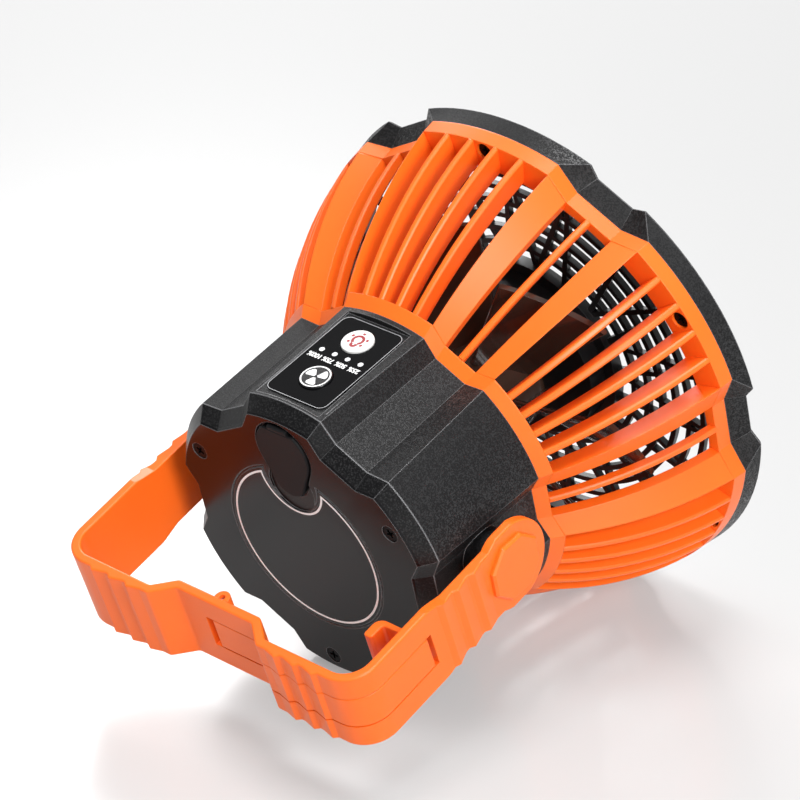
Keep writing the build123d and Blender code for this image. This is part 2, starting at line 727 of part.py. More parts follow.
with BuildPart() as drum:
    lobed_loft(DRUM_Z, DRUM_SECTION, NECK_Z, NECK_SECTION)
    lobed_loft(DRUM_Z, DRUM_SECTION, DRUM_FRONT, NECK_SECTION, WALL, Mode.SUBTRACT)
    # The wall behind the switch panel is flat and thicker
    with BuildSketch(PANEL):
        with Locations((0, (LIP_TOP + DRUM_FRONT) / 2 + LIP_GAP)):
            Rectangle(2 * PANEL_HALF + WALL, DRUM_FRONT - LIP_TOP - 2 * LIP_GAP)
    extrude(amount=-PANEL_WALL)
    with BuildSketch(PANEL):
        with Locations((0, (PANEL_START + PANEL_END) / 2)):
            Rectangle(2 * PANEL_HALF, PANEL_END - PANEL_START)
    extrude(amount=PANEL_WALL, mode=Mode.SUBTRACT)
    with BuildSketch(PANEL):
        with Locations((0, LIGHT_BUTTON_Z), (0, FAN_BUTTON_Z)):
            Circle(BUTTON_R + BUTTON_GAP)
        with Locations((0, CHARGE_LIGHT_Z)):
            with GridLocations(CHARGE_LIGHT_PITCH, 1, CHARGE_LIGHTS, 1):
                Circle(CHARGE_LIGHT_R + HOLE_GAP)
    extrude(amount=-PANEL_WALL, mode=Mode.SUBTRACT)
    # Posts for the control board
    with BuildSketch(PANEL.offset(-PANEL_WALL)):
        with Locations((0, (POST_START + POST_END) / 2)):
            with GridLocations(2 * POST_X, POST_END - POST_START, 2, 2):
                Circle(POST_R)
                Circle(SMALL_SCREW_R + HOLE_GAP, mode=Mode.SUBTRACT)
    extrude(amount=-CONTROL_DROP)
    # Bosses for the back cover's screws, each on a web from the wall
    with PolarLocations(COVER_SCREW_PCR, 3, start_angle=-FIRST_LOBE):
        with Locations((0, 0, BOSS_Z)):
            Cylinder(BOSS_R, BOSS_LENGTH, align=UP)
        with Locations((0, 0, LIP_TOP + LIP_GAP)):
            Box(DRUM_R - WALL / 2 - COVER_SCREW_PCR, WALL, BOSS_LENGTH - LIP_REACH, align=OUTWARD)
        with Locations((0, 0, BOSS_Z)):
            Cylinder(SCREW_R + HOLE_GAP, SCREW_LENGTH, align=UP, mode=Mode.SUBTRACT)
    # Bosses behind the front wall, for the screws from inside the cage
    with BuildSketch(Plane.XY.offset(DRUM_FRONT)):
        with PolarLocations(CAGE_SCREW_PCR, 3, start_angle=FIRST_LOBE):
            Circle(BOSS_R)
        with PolarLocations(BRACKET_SCREW_PCR, 3, start_angle=FIRST_LOBE):
            Circle(SCREW_R + WALL)
    extrude(amount=-CAGE_BOSS)
    with BuildSketch(Plane.XY.offset(NECK_Z)):
        Circle(MOTOR_R + SEAT_GAP)
    extrude(amount=-FRONT_WALL, mode=Mode.SUBTRACT)
    with BuildSketch(Plane.XY.offset(NECK_Z)):
        with PolarLocations(CAGE_SCREW_PCR, 3, start_angle=FIRST_LOBE):
            Circle(SCREW_R + HOLE_GAP)
        with PolarLocations(BRACKET_SCREW_PCR, 3, start_angle=FIRST_LOBE):
            Circle(SCREW_R + HOLE_GAP)
    extrude(amount=-SCREW_LENGTH, mode=Mode.SUBTRACT)
    # Pivot bosses on the two side notches, each with a spigot for the bail and a screw bore
    for side in (-1, 1):
        with BuildSketch(side_plane(side, PIVOT_BOSS_FOOT)):
            Circle(PIVOT_BOSS_R)
        extrude(amount=BOSS_FACE - PIVOT_BOSS_FOOT)
        with BuildSketch(side_plane(side, BOSS_FACE)):
            Circle(SPIGOT_R)
        extrude(amount=SPIGOT_END - BOSS_FACE)
        with BuildSketch(side_plane(side, SPIGOT_END)):
            Circle(SCREW_R + HOLE_GAP)
        extrude(amount=-SCREW_LENGTH, mode=Mode.SUBTRACT)

# ---------------------------------------------------------------- back cover and plug

CHARGE_TOP_U = PORT_U - PORT_HEIGHT / 2  # face of the charging board that carries the port
CHARGE_UNDER_U = CHARGE_TOP_U - BOARD

LIP_R = DRUM_R - WALL - LIP_GAP
LIP_SECTION = (LIP_R, NOTCH, DRUM_LOBE, DRUM_FLOOR)
COVER_HEAD_Z = SCREW_HEAD_H + SEAT_GAP
PLUG_BACK = PLUG_THICK - PLUG_STAND
RECESS_DEPTH = PLUG_BACK + SEAT_GAP + PLUG_HINGE_ROOM
HINGE_U = PLUG_TOP_U + PLUG_TOP_R - PLUG_HINGE_INSET


def plug_outline(margin):
    """Draw the plug's egg shape, grown by a margin, on the back cover's plane."""
    with Locations((0, PLUG_TOP_U)):
        Circle(PLUG_TOP_R + margin)
    with Locations((0, PLUG_TIP_U)):
        Circle(PLUG_TIP_R + margin)
    make_hull()


with BuildPart() as back_cover:
    lobed_loft(0, COVER_SECTION, DRUM_Z, DRUM_SECTION)
    lobed_loft(DRUM_Z, DRUM_SECTION, LIP_TOP, DRUM_SECTION, WALL + LIP_GAP)
    lobed_loft(WALL, LIP_SECTION, LIP_TOP, LIP_SECTION, LIP, Mode.SUBTRACT)
    with BuildSketch(Plane.XY.offset(WALL)):
        with PolarLocations(COVER_SCREW_PCR, 3, start_angle=-FIRST_LOBE):
            Circle(BOSS_R)
    extrude(amount=BOSS_Z - WALL - HOLE_GAP)
    with BuildSketch(Plane.XY):
        with PolarLocations(COVER_SCREW_PCR, 3, start_angle=-FIRST_LOBE):
            Circle(SCREW_HEAD_R + SEAT_GAP)
    extrude(amount=COVER_HEAD_Z, mode=Mode.SUBTRACT)
    with BuildSketch(Plane.XY):
        with PolarLocations(COVER_SCREW_PCR, 3, start_angle=-FIRST_LOBE):
            Circle(SCREW_R + HOLE_GAP)
    extrude(amount=BOSS_Z, mode=Mode.SUBTRACT)
    # A fine groove frames the label field and steps round the plug
    with BuildSketch(BACK):
        Circle(GROOVE_R + GROOVE_WIDTH / 2)
        with Locations((0, BITE_U)):
            Circle(BITE_R - GROOVE_WIDTH / 2, mode=Mode.SUBTRACT)
        offset(amount=-GROOVE_WIDTH, kind=Kind.INTERSECTION, mode=Mode.SUBTRACT)
    extrude(amount=-GROOVE_DEPTH, mode=Mode.SUBTRACT)
    # Recess for the plug, a finger pocket below its tip, and the port's opening
    with BuildSketch(BACK):
        plug_outline(PLUG_GAP)
    extrude(amount=-RECESS_DEPTH, mode=Mode.SUBTRACT)
    with BuildSketch(BACK):
        with Locations((0, FINGER_U)):
            Circle(FINGER_R)
    extrude(amount=-FINGER_DEPTH, mode=Mode.SUBTRACT)
    with BuildSketch(BACK):
        with Locations((0, PORT_U)):
            RectangleRounded(
                2 * (PORT_HALF_WIDTH + PLUG_STUB_GAP), PORT_HEIGHT + 2 * PLUG_STUB_GAP, PORT_HEIGHT / 3
            )
    extrude(amount=-DRUM_Z, mode=Mode.SUBTRACT)
    # Pads that carry the charging board
    with BuildSketch(Plane.XY.offset(WALL)):
        with Locations((0, PAD_DEPTH / 2 - CHARGE_UNDER_U)):
            with GridLocations(2 * PAD_X, 1, 2, 1):
                Rectangle(PAD_WIDTH, PAD_DEPTH)
    extrude(amount=PAD_LENGTH)
    with BuildSketch(Plane(origin=(0, -CHARGE_UNDER_U, 0), x_dir=(1, 0, 0), z_dir=(0, -1, 0))):
        with Locations((0, CHARGE_SCREW_Z)):
            with GridLocations(2 * PAD_X, 1, 2, 1):
                Circle(SMALL_SCREW_R + HOLE_GAP)
    extrude(amount=BOARD - SMALL_SCREW_LENGTH, mode=Mode.SUBTRACT)

with BuildPart() as back_cover_screws:
    with Locations(Plane(origin=(0, 0, COVER_HEAD_Z), x_dir=(1, 0, 0), z_dir=(0, 0, -1))):
        with PolarLocations(COVER_SCREW_PCR, 3, start_angle=FIRST_LOBE):
            casing_screw()

with BuildPart() as port_plug:
    with BuildSketch(BACK.offset(PLUG_STAND)):
        plug_outline(0)
        with Locations((0, HINGE_U - PLUG_SHOULDER)):
            Rectangle(4 * PLUG_TOP_R, PLUG_TOP_R, align=(Align.CENTER, Align.MIN), mode=Mode.SUBTRACT)
    extrude(amount=-PLUG_THICK)
    chamfer(port_plug.faces().sort_by(Axis.Z)[0].edges(), PLUG_STAND / 2)
    # A neck at the top ends in the round edge that the plug bends on
    with BuildSketch(BACK.offset(PLUG_STAND)):
        with Locations((0, HINGE_U - PLUG_SHOULDER)):
            Rectangle(2 * PLUG_NECK, PLUG_SHOULDER, align=(Align.CENTER, Align.MIN))
    extrude(amount=-PLUG_THICK)
    with Locations((0, -HINGE_U, PLUG_BACK - PLUG_THICK / 2)):
        Cylinder(PLUG_THICK / 2, 2 * PLUG_NECK, rotation=(0, 90, 0))
    with BuildSketch(BACK.offset(-PLUG_BACK)):
        with Locations((0, PORT_U)):
            RectangleRounded(2 * PORT_HALF_WIDTH - STUB_DRAFT, PORT_HEIGHT - STUB_DRAFT, PORT_HEIGHT / 4)
    extrude(amount=-PLUG_STUB)

# ---------------------------------------------------------------- boards, port, switches and cells

PORT_Z = RECESS_DEPTH + PLUG_STUB
CHARGE_Z = WALL + SEAT_GAP

with BuildPart() as charging_port:
    with BuildSketch(Plane.XY.offset(PORT_Z)):
        with Locations((0, -PORT_U)):
            RectangleRounded(2 * PORT_HALF_WIDTH, PORT_HEIGHT, PORT_HEIGHT / 3)
            RectangleRounded(
                2 * (PORT_HALF_WIDTH - PORT_SHELL),
                PORT_HEIGHT - 2 * PORT_SHELL,
                PORT_HEIGHT / 3 - PORT_SHELL,
                mode=Mode.SUBTRACT,
            )
            Rectangle(PORT_HALF_WIDTH, PORT_SHELL)
    extrude(amount=PORT_DEPTH)
    with BuildSketch(Plane.XY.offset(PORT_Z + PORT_DEPTH)):
        with Locations((0, -PORT_U)):
            RectangleRounded(2 * PORT_HALF_WIDTH, PORT_HEIGHT, PORT_HEIGHT / 3)
    extrude(amount=PORT_SHELL)

with BuildPart() as charge_board:
    with Locations((0, -CHARGE_TOP_U, CHARGE_Z)):
        Box(2 * CHARGE_HALF, BOARD, CHARGE_LENGTH, align=(Align.CENTER, Align.MIN, Align.MIN))
    with BuildSketch(Plane(origin=(0, -CHARGE_TOP_U, 0), x_dir=(1, 0, 0), z_dir=(0, -1, 0))):
        with Locations((0, CHARGE_SCREW_Z)):
            with GridLocations(2 * PAD_X, 1, 2, 1):
                Circle(SMALL_SCREW_R + HOLE_GAP)
    extrude(amount=-BOARD, mode=Mode.SUBTRACT)

with BuildPart() as control_board:
    with BuildSketch(PANEL.offset(BOARD_U - PANEL_U)):
        with Locations((0, (CONTROL_START + CONTROL_END) / 2)):
            RectangleRounded(2 * CONTROL_HALF, CONTROL_END - CONTROL_START, BOARD)
        with Locations((0, (POST_START + POST_END) / 2)):
            with GridLocations(2 * POST_X, POST_END - POST_START, 2, 2):
                Circle(SMALL_SCREW_R + HOLE_GAP, mode=Mode.SUBTRACT)
    extrude(amount=-BOARD)

with BuildPart() as board_screws:
    with Locations(Plane(origin=(0, BOARD - BOARD_U, 0), x_dir=(1, 0, 0), z_dir=(0, 1, 0))):
        with Locations((0, -(POST_START + POST_END) / 2)):
            with GridLocations(2 * POST_X, POST_END - POST_START, 2, 2):
                small_screw()
    with Locations(Plane(origin=(0, -CHARGE_TOP_U, 0), x_dir=(1, 0, 0), z_dir=(0, -1, 0))):
        with Locations((0, CHARGE_SCREW_Z)):
            with GridLocations(2 * PAD_X, 1, 2, 1):
                small_screw()

FLANGE_U = WALL_U - SEAT_GAP
FLANGE_FOOT_U = FLANGE_U - BUTTON_FLANGE_H
STEM_TOP_U = FLANGE_FOOT_U - BUTTON_TRAVEL - SEAT_GAP / 2

with BuildPart() as switch_bodies:
    with BuildSketch(PANEL.offset(BOARD_U - PANEL_U)):
        with Locations((0, LIGHT_BUTTON_Z), (0, FAN_BUTTON_Z)):
            Rectangle(SWITCH_BODY, SWITCH_BODY)
    extrude(amount=SWITCH_BODY_H)
    with BuildSketch(PANEL.offset(BOARD_U - PANEL_U)):
        with Locations((0, LIGHT_BUTTON_Z), (0, FAN_BUTTON_Z)):
            Circle(SWITCH_STEM_R)
    extrude(amount=STEM_TOP_U - BOARD_U)


def button_body(z):
    """Add a push button at this place along the panel: a flange under the wall and a low cap."""
    with BuildSketch(PANEL.offset(FLANGE_FOOT_U - PANEL_U)) as flange:
        with Locations((0, z)):
            Circle(BUTTON_R + BUTTON_FLANGE)
    extrude(flange.sketch, amount=BUTTON_FLANGE_H)
    with BuildSketch(PANEL.offset(FLANGE_FOOT_U - PANEL_U)) as cap:
        with Locations((0, z)):
            Circle(BUTTON_R)
    extrude(cap.sketch, amount=PANEL_U + FILM + BUTTON_STAND - FLANGE_FOOT_U)


with BuildPart() as light_button:
    button_body(LIGHT_BUTTON_Z)
    fillet(light_button.edges().sort_by(Axis.Y)[0], BUTTON_ROUND)

with BuildPart() as fan_button:
    button_body(FAN_BUTTON_Z)
    fillet(fan_button.edges().sort_by(Axis.Y)[0], BUTTON_ROUND)

with BuildPart() as panel_overlay:
    with BuildSketch(PANEL):
        with Locations((0, (FILM_START + FILM_END) / 2)):
            RectangleRounded(2 * FILM_HALF, FILM_END - FILM_START, FILM_CORNER)
        with Locations((0, LIGHT_BUTTON_Z), (0, FAN_BUTTON_Z)):
            Circle(BUTTON_R + BUTTON_GAP, mode=Mode.SUBTRACT)
        with Locations((0, CHARGE_LIGHT_Z)):
            with GridLocations(CHARGE_LIGHT_PITCH, 1, CHARGE_LIGHTS, 1):
                Circle(CHARGE_LIGHT_R + HOLE_GAP, mode=Mode.SUBTRACT)
    extrude(amount=FILM)

with BuildPart() as charge_lights:
    with BuildSketch(PANEL.offset(FILM)):
        with Locations((0, CHARGE_LIGHT_Z)):
            with GridLocations(CHARGE_LIGHT_PITCH, 1, CHARGE_LIGHTS, 1):
                Circle(CHARGE_LIGHT_R)
    extrude(amount=-(FILM + PANEL_WALL + CONTROL_DROP))

HOLDER_Z = WALL + HOLDER_FLOOR
CELL_Z = HOLDER_Z + CELL_R
CELL_Y = CELL_R + CELL_GAP / 2
TAB_X = CELL_LENGTH / 2 + TAB / 2 + HOLE_GAP
HOLDER_HALF = CELL_LENGTH / 2 + TAB + CELL_GAP + HOLDER_WALL

with BuildPart() as battery_cells:
    with Locations((0, CELL_Y, CELL_Z), (0, -CELL_Y, CELL_Z)):
        Cylinder(CELL_R, CELL_LENGTH, rotation=(0, 90, 0))
    chamfer(battery_cells.edges().filter_by(GeomType.CIRCLE), SEAT_GAP)

with BuildPart() as battery_holder:
    with Locations((0, 0, WALL)):
        Box(2 * HOLDER_HALF, 4 * CELL_R, HOLDER_FLOOR, align=UP)
        Box(2 * HOLDER_HALF, 2 * HOLDER_WALL, HOLDER_FLOOR + CELL_R / 2, align=UP)
    with Locations((HOLDER_HALF - HOLDER_WALL / 2, 0, WALL), (HOLDER_WALL / 2 - HOLDER_HALF, 0, WALL)):
        Box(HOLDER_WALL, 4 * CELL_R, HOLDER_HEIGHT, align=UP)
    with Locations((0, CELL_Y, CELL_Z), (0, -CELL_Y, CELL_Z)):
        Cylinder(
            CELL_R + HOLE_GAP, CELL_LENGTH + 2 * TAB + CELL_GAP, rotation=(0, 90, 0), mode=Mode.SUBTRACT
        )

with BuildPart() as battery_tabs:
    with Locations((TAB_X, 0, CELL_Z), (-TAB_X, 0, CELL_Z)):
        Box(TAB, 2 * CELL_Y + CELL_R, CELL_R)

# ---------------------------------------------------------------- bail

JOG_SHIFT = BAND * tan(atan2(BAR_OUT - JOG_OUT, JOG_RUN) / 2)


def teeth(start, base):
    """Return the corners of the grip's saw teeth, going along the band from this height."""
    corners = []
    for index in range(TEETH):
        foot = start + index * TOOTH_PITCH
        corners.append((foot - TOOTH_PITCH / 2, base))
        corners.append((foot + TOOTH_PITCH / 8, base + TOOTH))
        corners.append((foot + TOOTH_PITCH / 3, base))
    return corners


def half_band():
    """Draw the band from the middle of the crossbar round the corner to the end of an arm."""
    bar_teeth = teeth(BAR_TOOTH, BAR_OUT)
    arm_teeth = [(across, along) for along, across in reversed(teeth(ARM_TOOTH, ARM_OUT))]
    start = (0, JOG_OUT)
    end = (0, JOG_OUT - BAND)
    corners = [(JOG_HALF, JOG_OUT), (JOG_HALF + JOG_RUN, BAR_OUT)]
    rounds = [JOG_ROUND, JOG_ROUND]
    corners += bar_teeth
    rounds += [TOOTH_ROUND] * len(bar_teeth)
    corners.append((ARM_OUT, BAR_OUT))
    rounds.append(BAIL_CORNER)
    corners += arm_teeth
    rounds += [TOOTH_ROUND] * len(arm_teeth)
    corners += [(ARM_OUT, -DISC_R), (ARM_OUT - BAND, -DISC_R), (ARM_OUT - BAND, BAR_OUT - BAND)]
    rounds += [0, 0, BAIL_CORNER - BAND]
    corners += [(JOG_HALF + JOG_RUN + JOG_SHIFT, BAR_OUT - BAND), (JOG_HALF + JOG_SHIFT, JOG_OUT - BAND)]
    rounds += [JOG_ROUND, JOG_ROUND]
    FilletPolyline(start, *corners, end, radius=rounds)
    Line(end, start)


SLOT_END = HOOK_END - SLOT_END_GAP
SLOT_HALF = HOOK_HALF + HOOK_GAP
SPAN = BAR_OUT + TOOTH + SPAN_MARGIN
BAIL_ACROSS = Axis(BAIL.origin, BAIL.z_dir)


def on_narrow_arm(edge):
    """Tell whether an edge runs along the narrow side of an arm or round its disc."""
    if edge.geom_type == GeomType.CIRCLE:
        return abs(edge.radius - DISC_R) < HOLE_GAP
    height = abs(BAIL.to_local_coords(edge.center()).Z)
    return abs(height - ARM_HALF) < HOLE_GAP and edge.length > BAND - HOLE_GAP


with BuildPart() as bail:
    with BuildSketch(BAIL):
        with BuildLine():
            half_band()
        make_face()
        mirror(about=Plane.YZ)
    extrude(amount=BAND_HALF, both=True)
    fillet(bail.faces().sort_by(BAIL_ACROSS)[0].edges(), BAND_EDGE)
    fillet(bail.faces().sort_by(BAIL_ACROSS)[-1].edges(), BAND_EDGE)
    # Seen from the side the arms narrow towards the pivots and end in discs
    with BuildSketch(BAIL_SIDE):
        with BuildLine():
            Polyline(
                (SPAN, SPAN),
                (ARM_STEP_END, BAND_HALF),
                (ARM_STEP_START, ARM_HALF),
                (0, ARM_HALF),
                (0, -ARM_HALF),
                (ARM_STEP_START, -ARM_HALF),
                (ARM_STEP_END, -BAND_HALF),
                (SPAN, -SPAN),
                close=True,
            )
        make_face()
        Circle(DISC_R)
    extrude(amount=SPAN, both=True, mode=Mode.INTERSECT)
    fillet(bail.edges().filter_by(on_narrow_arm).filter_by(Axis.X, reverse=True), ARM_EDGE)
    # Barrels for the hook's pin, on the inside of the crossbar
    with BuildSketch(BAIL):
        with Locations((0, PIN_S)):
            Circle(BARREL_R)
    extrude(amount=BAND_HALF - BAND_EDGE, both=True)
    # Slot for the hook, from behind the pin round one corner and up the arm
    with BuildSketch(BAIL):
        with Locations((-SLOT_HEEL, SLOT_END)):
            Rectangle(SPAN, SPAN, align=(Align.MIN, Align.MIN))
    extrude(amount=SLOT_HALF, both=True, mode=Mode.SUBTRACT)
    with BuildSketch(BAIL):
        with Locations((0, PIN_S)):
            Circle(PIN_R)
    extrude(amount=BAND_HALF, both=True, mode=Mode.SUBTRACT)
    # Each disc turns on the drum's spigot and has a recess for the washer and the cap
    for side in (-1, 1):
        with BuildSketch(side_plane(side, ARM_OUT - BAND)):
            Circle(SPIGOT_R + PIVOT_GAP)
        extrude(amount=BAND, mode=Mode.SUBTRACT)
        with BuildSketch(side_plane(side, RECESS_FLOOR)):
            Circle(CAP_SKIRT_R + HOLE_GAP)
        extrude(amount=BAND, mode=Mode.SUBTRACT)

with BuildPart() as hook:
    with BuildSketch(BAIL):
        with BuildLine():
            half_band()
        make_face()
        with Locations((0, JOG_OUT)):
            Rectangle(HOOK_HEEL, BAND, align=(Align.MAX, Align.MAX))
        with Locations((0, PIN_S)):
            Circle(BARREL_R)
        with Locations((0, HOOK_END)):
            Rectangle(SPAN, SPAN, align=(Align.MIN, Align.MAX), mode=Mode.SUBTRACT)
        # The tip turns inwards off the arm and curls back towards the crossbar
        with BuildLine():
            FilletPolyline(
                (ARM_OUT - BAND / 2, HOOK_END),
                (CURL_OUT, HOOK_END),
                (CURL_OUT, CURL_TOP),
                (CURL_IN, CURL_TOP),
                (CURL_IN, HOOK_END + HOOK_PLATE),
                (ARM_OUT - BAND / 2, HOOK_END + HOOK_PLATE),
                radius=[0, CURL_ROUND, TIP_ROUND, TIP_ROUND, TIP_ROUND, 0],
                close=True,
            )
        make_face()
        with Locations((0, PIN_S)):
            Circle(PIN_R + PIN_GAP, mode=Mode.SUBTRACT)
    extrude(amount=HOOK_HALF, both=True)
    fillet(hook.faces().sort_by(BAIL_ACROSS)[0].outer_wire().edges(), HOOK_EDGE)
    fillet(hook.faces().sort_by(BAIL_ACROSS)[-1].outer_wire().edges(), HOOK_EDGE)

with BuildPart() as hook_pin:
    with BuildSketch(BAIL):
        with Locations((0, PIN_S)):
            Circle(PIN_R)
    extrude(amount=BAND_HALF - BAND_EDGE - PIN_INSET, both=True)


# ---------------------------------------------------------------- pivots


def cap_body(side):
    """Add the bevelled eight-sided cap of one pivot, with a skirt that fits the arm's recess."""
    with BuildSketch(side_plane(side, ARM_OUT)) as plate:
        RegularPolygon(CAP_R, CAP_SIDES, rotation=180 / CAP_SIDES)
    extrude(plate.sketch, amount=CAP_HEIGHT)
    with BuildSketch(side_plane(side, ARM_OUT)) as skirt:
        Circle(CAP_SKIRT_R)
    extrude(skirt.sketch, amount=-CAP_SKIRT)
    with BuildSketch(side_plane(side, ARM_OUT - CAP_SKIRT)) as hollow:
        Circle(WASHER_R + SEAT_GAP)
    extrude(hollow.sketch, amount=CAP_SKIRT + CAP_HOLLOW, mode=Mode.SUBTRACT)


with BuildPart() as left_pivot_cap:
    cap_body(-1)
    chamfer(left_pivot_cap.faces().sort_by(Axis.X)[0].edges(), CAP_BEVEL)

with BuildPart() as right_pivot_cap:
    cap_body(1)
    chamfer(right_pivot_cap.faces().sort_by(Axis.X)[-1].edges(), CAP_BEVEL)

with BuildPart() as pivot_washers:
    for side in (-1, 1):
        with BuildSketch(side_plane(side, SPIGOT_END)):
            Circle(WASHER_R)
            Circle(SCREW_R + HOLE_GAP, mode=Mode.SUBTRACT)
        extrude(amount=WASHER)

with BuildPart() as pivot_screws:
    with Locations(side_plane(-1, SPIGOT_END + WASHER), side_plane(1, SPIGOT_END + WASHER)):
        screw(SCREW_R, SCREW_LENGTH, PIVOT_HEAD_R, PIVOT_HEAD_H)

# ---------------------------------------------------------------- resting pose

# The fan lies back on the rear edge of the drum and on the two ribs beside the lowest line of the
# cage, and holds the bail clear of the ground behind it. Its tilt is that of the line that touches
# the drum's edge and the ribs' outer curve, both seen along X, with -Y up.
BOW_R, BOW_Z = bow_centre(0, 0)
RIB_SLANT = radians(RIB_INNER)
BOW_Y = BOW_R * cos(RIB_SLANT) + (RIB / 2 - RIB_EDGE) * sin(RIB_SLANT)
REACH_R = RIB_BOW * cos(RIB_SLANT)
LEAN_Y = BOW_Y - DRUM_R
LEAN_Z = BOW_Z - DRUM_Z
TILT = degrees(acos(-REACH_R / hypot(LEAN_Y, LEAN_Z)) - atan2(LEAN_Z, LEAN_Y))

LEAN = Location((0, 0, 0), (TILT - 90, 0, 0))
resting = (cage_ribs, cage_rim, front_bezel, drum, bail)
envelope = Compound(children=[LEAN * piece.part for piece in resting])
envelope_box = envelope.bounding_box()
STAND = Location((0, -envelope_box.center().Y, -envelope_box.min.Z), (TILT - 90, 0, 0))
print("tilt", TILT, "stand", STAND)

for name, piece in {
    "cage_foot": cage_foot,
    "cage_ribs": cage_ribs,
    "cage_rim": cage_rim,
    "front_bezel": front_bezel,
    "front_grille": front_grille,
    "rim_screws": rim_screws,
    "lamp_cup": lamp_cup,
    "lamp_board": lamp_board,
    "lamp_leds": lamp_leds,
    "lamp_lens": lamp_lens,
    "motor_can": motor_can,
    "motor_end_cap": motor_end_cap,
    "motor_shaft": motor_shaft,
    "motor_bracket": motor_bracket,
    "motor_screws": motor_screws,
    "bracket_screws": bracket_screws,
    "cage_screws": cage_screws,
    "impeller": impeller,
    "impeller_collar": impeller_collar,
    "drum": drum,
    "back_cover": back_cover,
    "back_cover_screws": back_cover_screws,
    "port_plug": port_plug,
    "charging_port": charging_port,
    "charge_board": charge_board,
    "control_board": control_board,
    "board_screws": board_screws,
    "switch_bodies": switch_bodies,
    "light_button": light_button,
    "fan_button": fan_button,
    "panel_overlay": panel_overlay,
    "charge_lights": charge_lights,
    "battery_cells": battery_cells,
    "battery_holder": battery_holder,
    "battery_tabs": battery_tabs,
    "bail": bail,
    "hook": hook,
    "hook_pin": hook_pin,
    "left_pivot_cap": left_pivot_cap,
    "right_pivot_cap": right_pivot_cap,
    "pivot_washers": pivot_washers,
    "pivot_screws": pivot_screws,
}.items():
    finish(piece, name)
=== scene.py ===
import json
import math

import bpy
import numpy as np
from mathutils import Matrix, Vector


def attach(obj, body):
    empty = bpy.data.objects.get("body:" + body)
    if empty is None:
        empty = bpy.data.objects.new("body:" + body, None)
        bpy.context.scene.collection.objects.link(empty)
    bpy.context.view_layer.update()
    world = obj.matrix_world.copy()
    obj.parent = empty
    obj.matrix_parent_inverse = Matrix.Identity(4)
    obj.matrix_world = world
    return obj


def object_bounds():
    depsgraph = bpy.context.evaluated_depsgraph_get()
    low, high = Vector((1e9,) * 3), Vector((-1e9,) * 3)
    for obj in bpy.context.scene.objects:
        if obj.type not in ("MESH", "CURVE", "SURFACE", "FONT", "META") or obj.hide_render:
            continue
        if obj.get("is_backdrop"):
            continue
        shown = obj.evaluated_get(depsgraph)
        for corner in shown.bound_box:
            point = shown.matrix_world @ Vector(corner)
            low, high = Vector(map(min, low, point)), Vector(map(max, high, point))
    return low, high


bl_info = {
    "name": "Camping Fan Finish",
    "version": (1, 0, 0),
    "blender": (4, 5, 0),
    "location": "View3D > Sidebar > Camping Fan",
    "description": "Finishes, printing and studio of a portable camping fan",
    "category": "Object",
}

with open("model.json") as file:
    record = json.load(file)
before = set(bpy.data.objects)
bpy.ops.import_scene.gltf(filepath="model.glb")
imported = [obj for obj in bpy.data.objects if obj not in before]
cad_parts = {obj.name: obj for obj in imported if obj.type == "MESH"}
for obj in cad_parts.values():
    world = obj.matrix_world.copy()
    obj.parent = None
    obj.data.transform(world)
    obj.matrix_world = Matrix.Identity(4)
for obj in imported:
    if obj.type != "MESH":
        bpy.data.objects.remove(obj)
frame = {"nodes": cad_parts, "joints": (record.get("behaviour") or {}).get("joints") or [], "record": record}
CAD_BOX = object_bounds()
NODES = frame["nodes"]
JOINTS = {joint["name"]: joint for joint in frame["joints"]}
MOUNTS = {mount["name"]: mount for mount in frame["record"]["mounts"]}

# Directions of the fan as it leans back: to its right, from the switches down through the drum,
# and forwards along the axis. The back cover's middle is the point that places are counted from.
RIGHT = Vector(JOINTS["bail_tilt"]["axis"])
INWARD = Vector(JOINTS["light_press"]["axis"])
FORWARD = Vector(JOINTS["impeller_spin"]["axis"])
BACK_MIDDLE = Vector(MOUNTS["back_face"]["pos_m"])
MM = 0.001

# How finely round things are drawn
CORNER_STEPS = 10
DOME_RINGS = 9
# Vertices closer than this merge, no length shorter than this divides, and where a line bends
# sharply the cosine that widens it goes no lower than this
MERGE_DISTANCE = MM / 1000
TINY = 1e-12
LEAST_BEND = 0.4


# ---------------------------------------------------------------- places taken from the frame


def corners(node):
    """Return the vertices of a node as an array in metres."""
    mesh = NODES[node].data
    points = np.empty(len(mesh.vertices) * 3, np.float32)
    mesh.vertices.foreach_get("co", points)
    return points.reshape(-1, 3).astype(float)


def span(node, direction):
    """Return a node's lowest and highest reach along a direction, from the back cover's middle."""
    along = (corners(node) - np.array(BACK_MIDDLE)) @ np.array(direction)
    return along.min(), along.max()


def middle(node):
    """Return a node's middle along right, outwards from the axis at the switches, and forwards."""
    return [sum(span(node, direction)) / 2 for direction in (RIGHT, -INWARD, FORWARD)]


class Face:
    """A flat face that is printed on: its origin, its two directions and its outward normal."""

    def __init__(self, origin, across, along):
        self.origin = np.array(origin)
        self.across = np.array(across)
        self.along = np.array(along)
        self.out = np.cross(self.across, self.along)

    def at(self, flat, height):
        """Return points in the frame from an (n, 2) array on the face and a height above it."""
        rise = np.broadcast_to(np.asarray(height, float), len(flat))
        return (
            self.origin
            + flat[:, :1] * self.across
            + flat[:, 1:2] * self.along
            + rise[:, None] * self.out
        )


FILM_TOP = span("panel_overlay", -INWARD)[1]
BUTTON_TOP = span("light_button", -INWARD)[1]


def panel_face(height):
    """Return the switch panel's face at this height above the axis, with its y forwards."""
    return Face(BACK_MIDDLE - INWARD * height, RIGHT, FORWARD)


def cover_face():
    """Return the back cover's face: x is left, y is towards the switches.

    Heights on it count forwards, into the cover, and not backwards, out of it.
    """
    return Face(BACK_MIDDLE, -RIGHT, -INWARD)


# ---------------------------------------------------------------- surfaces


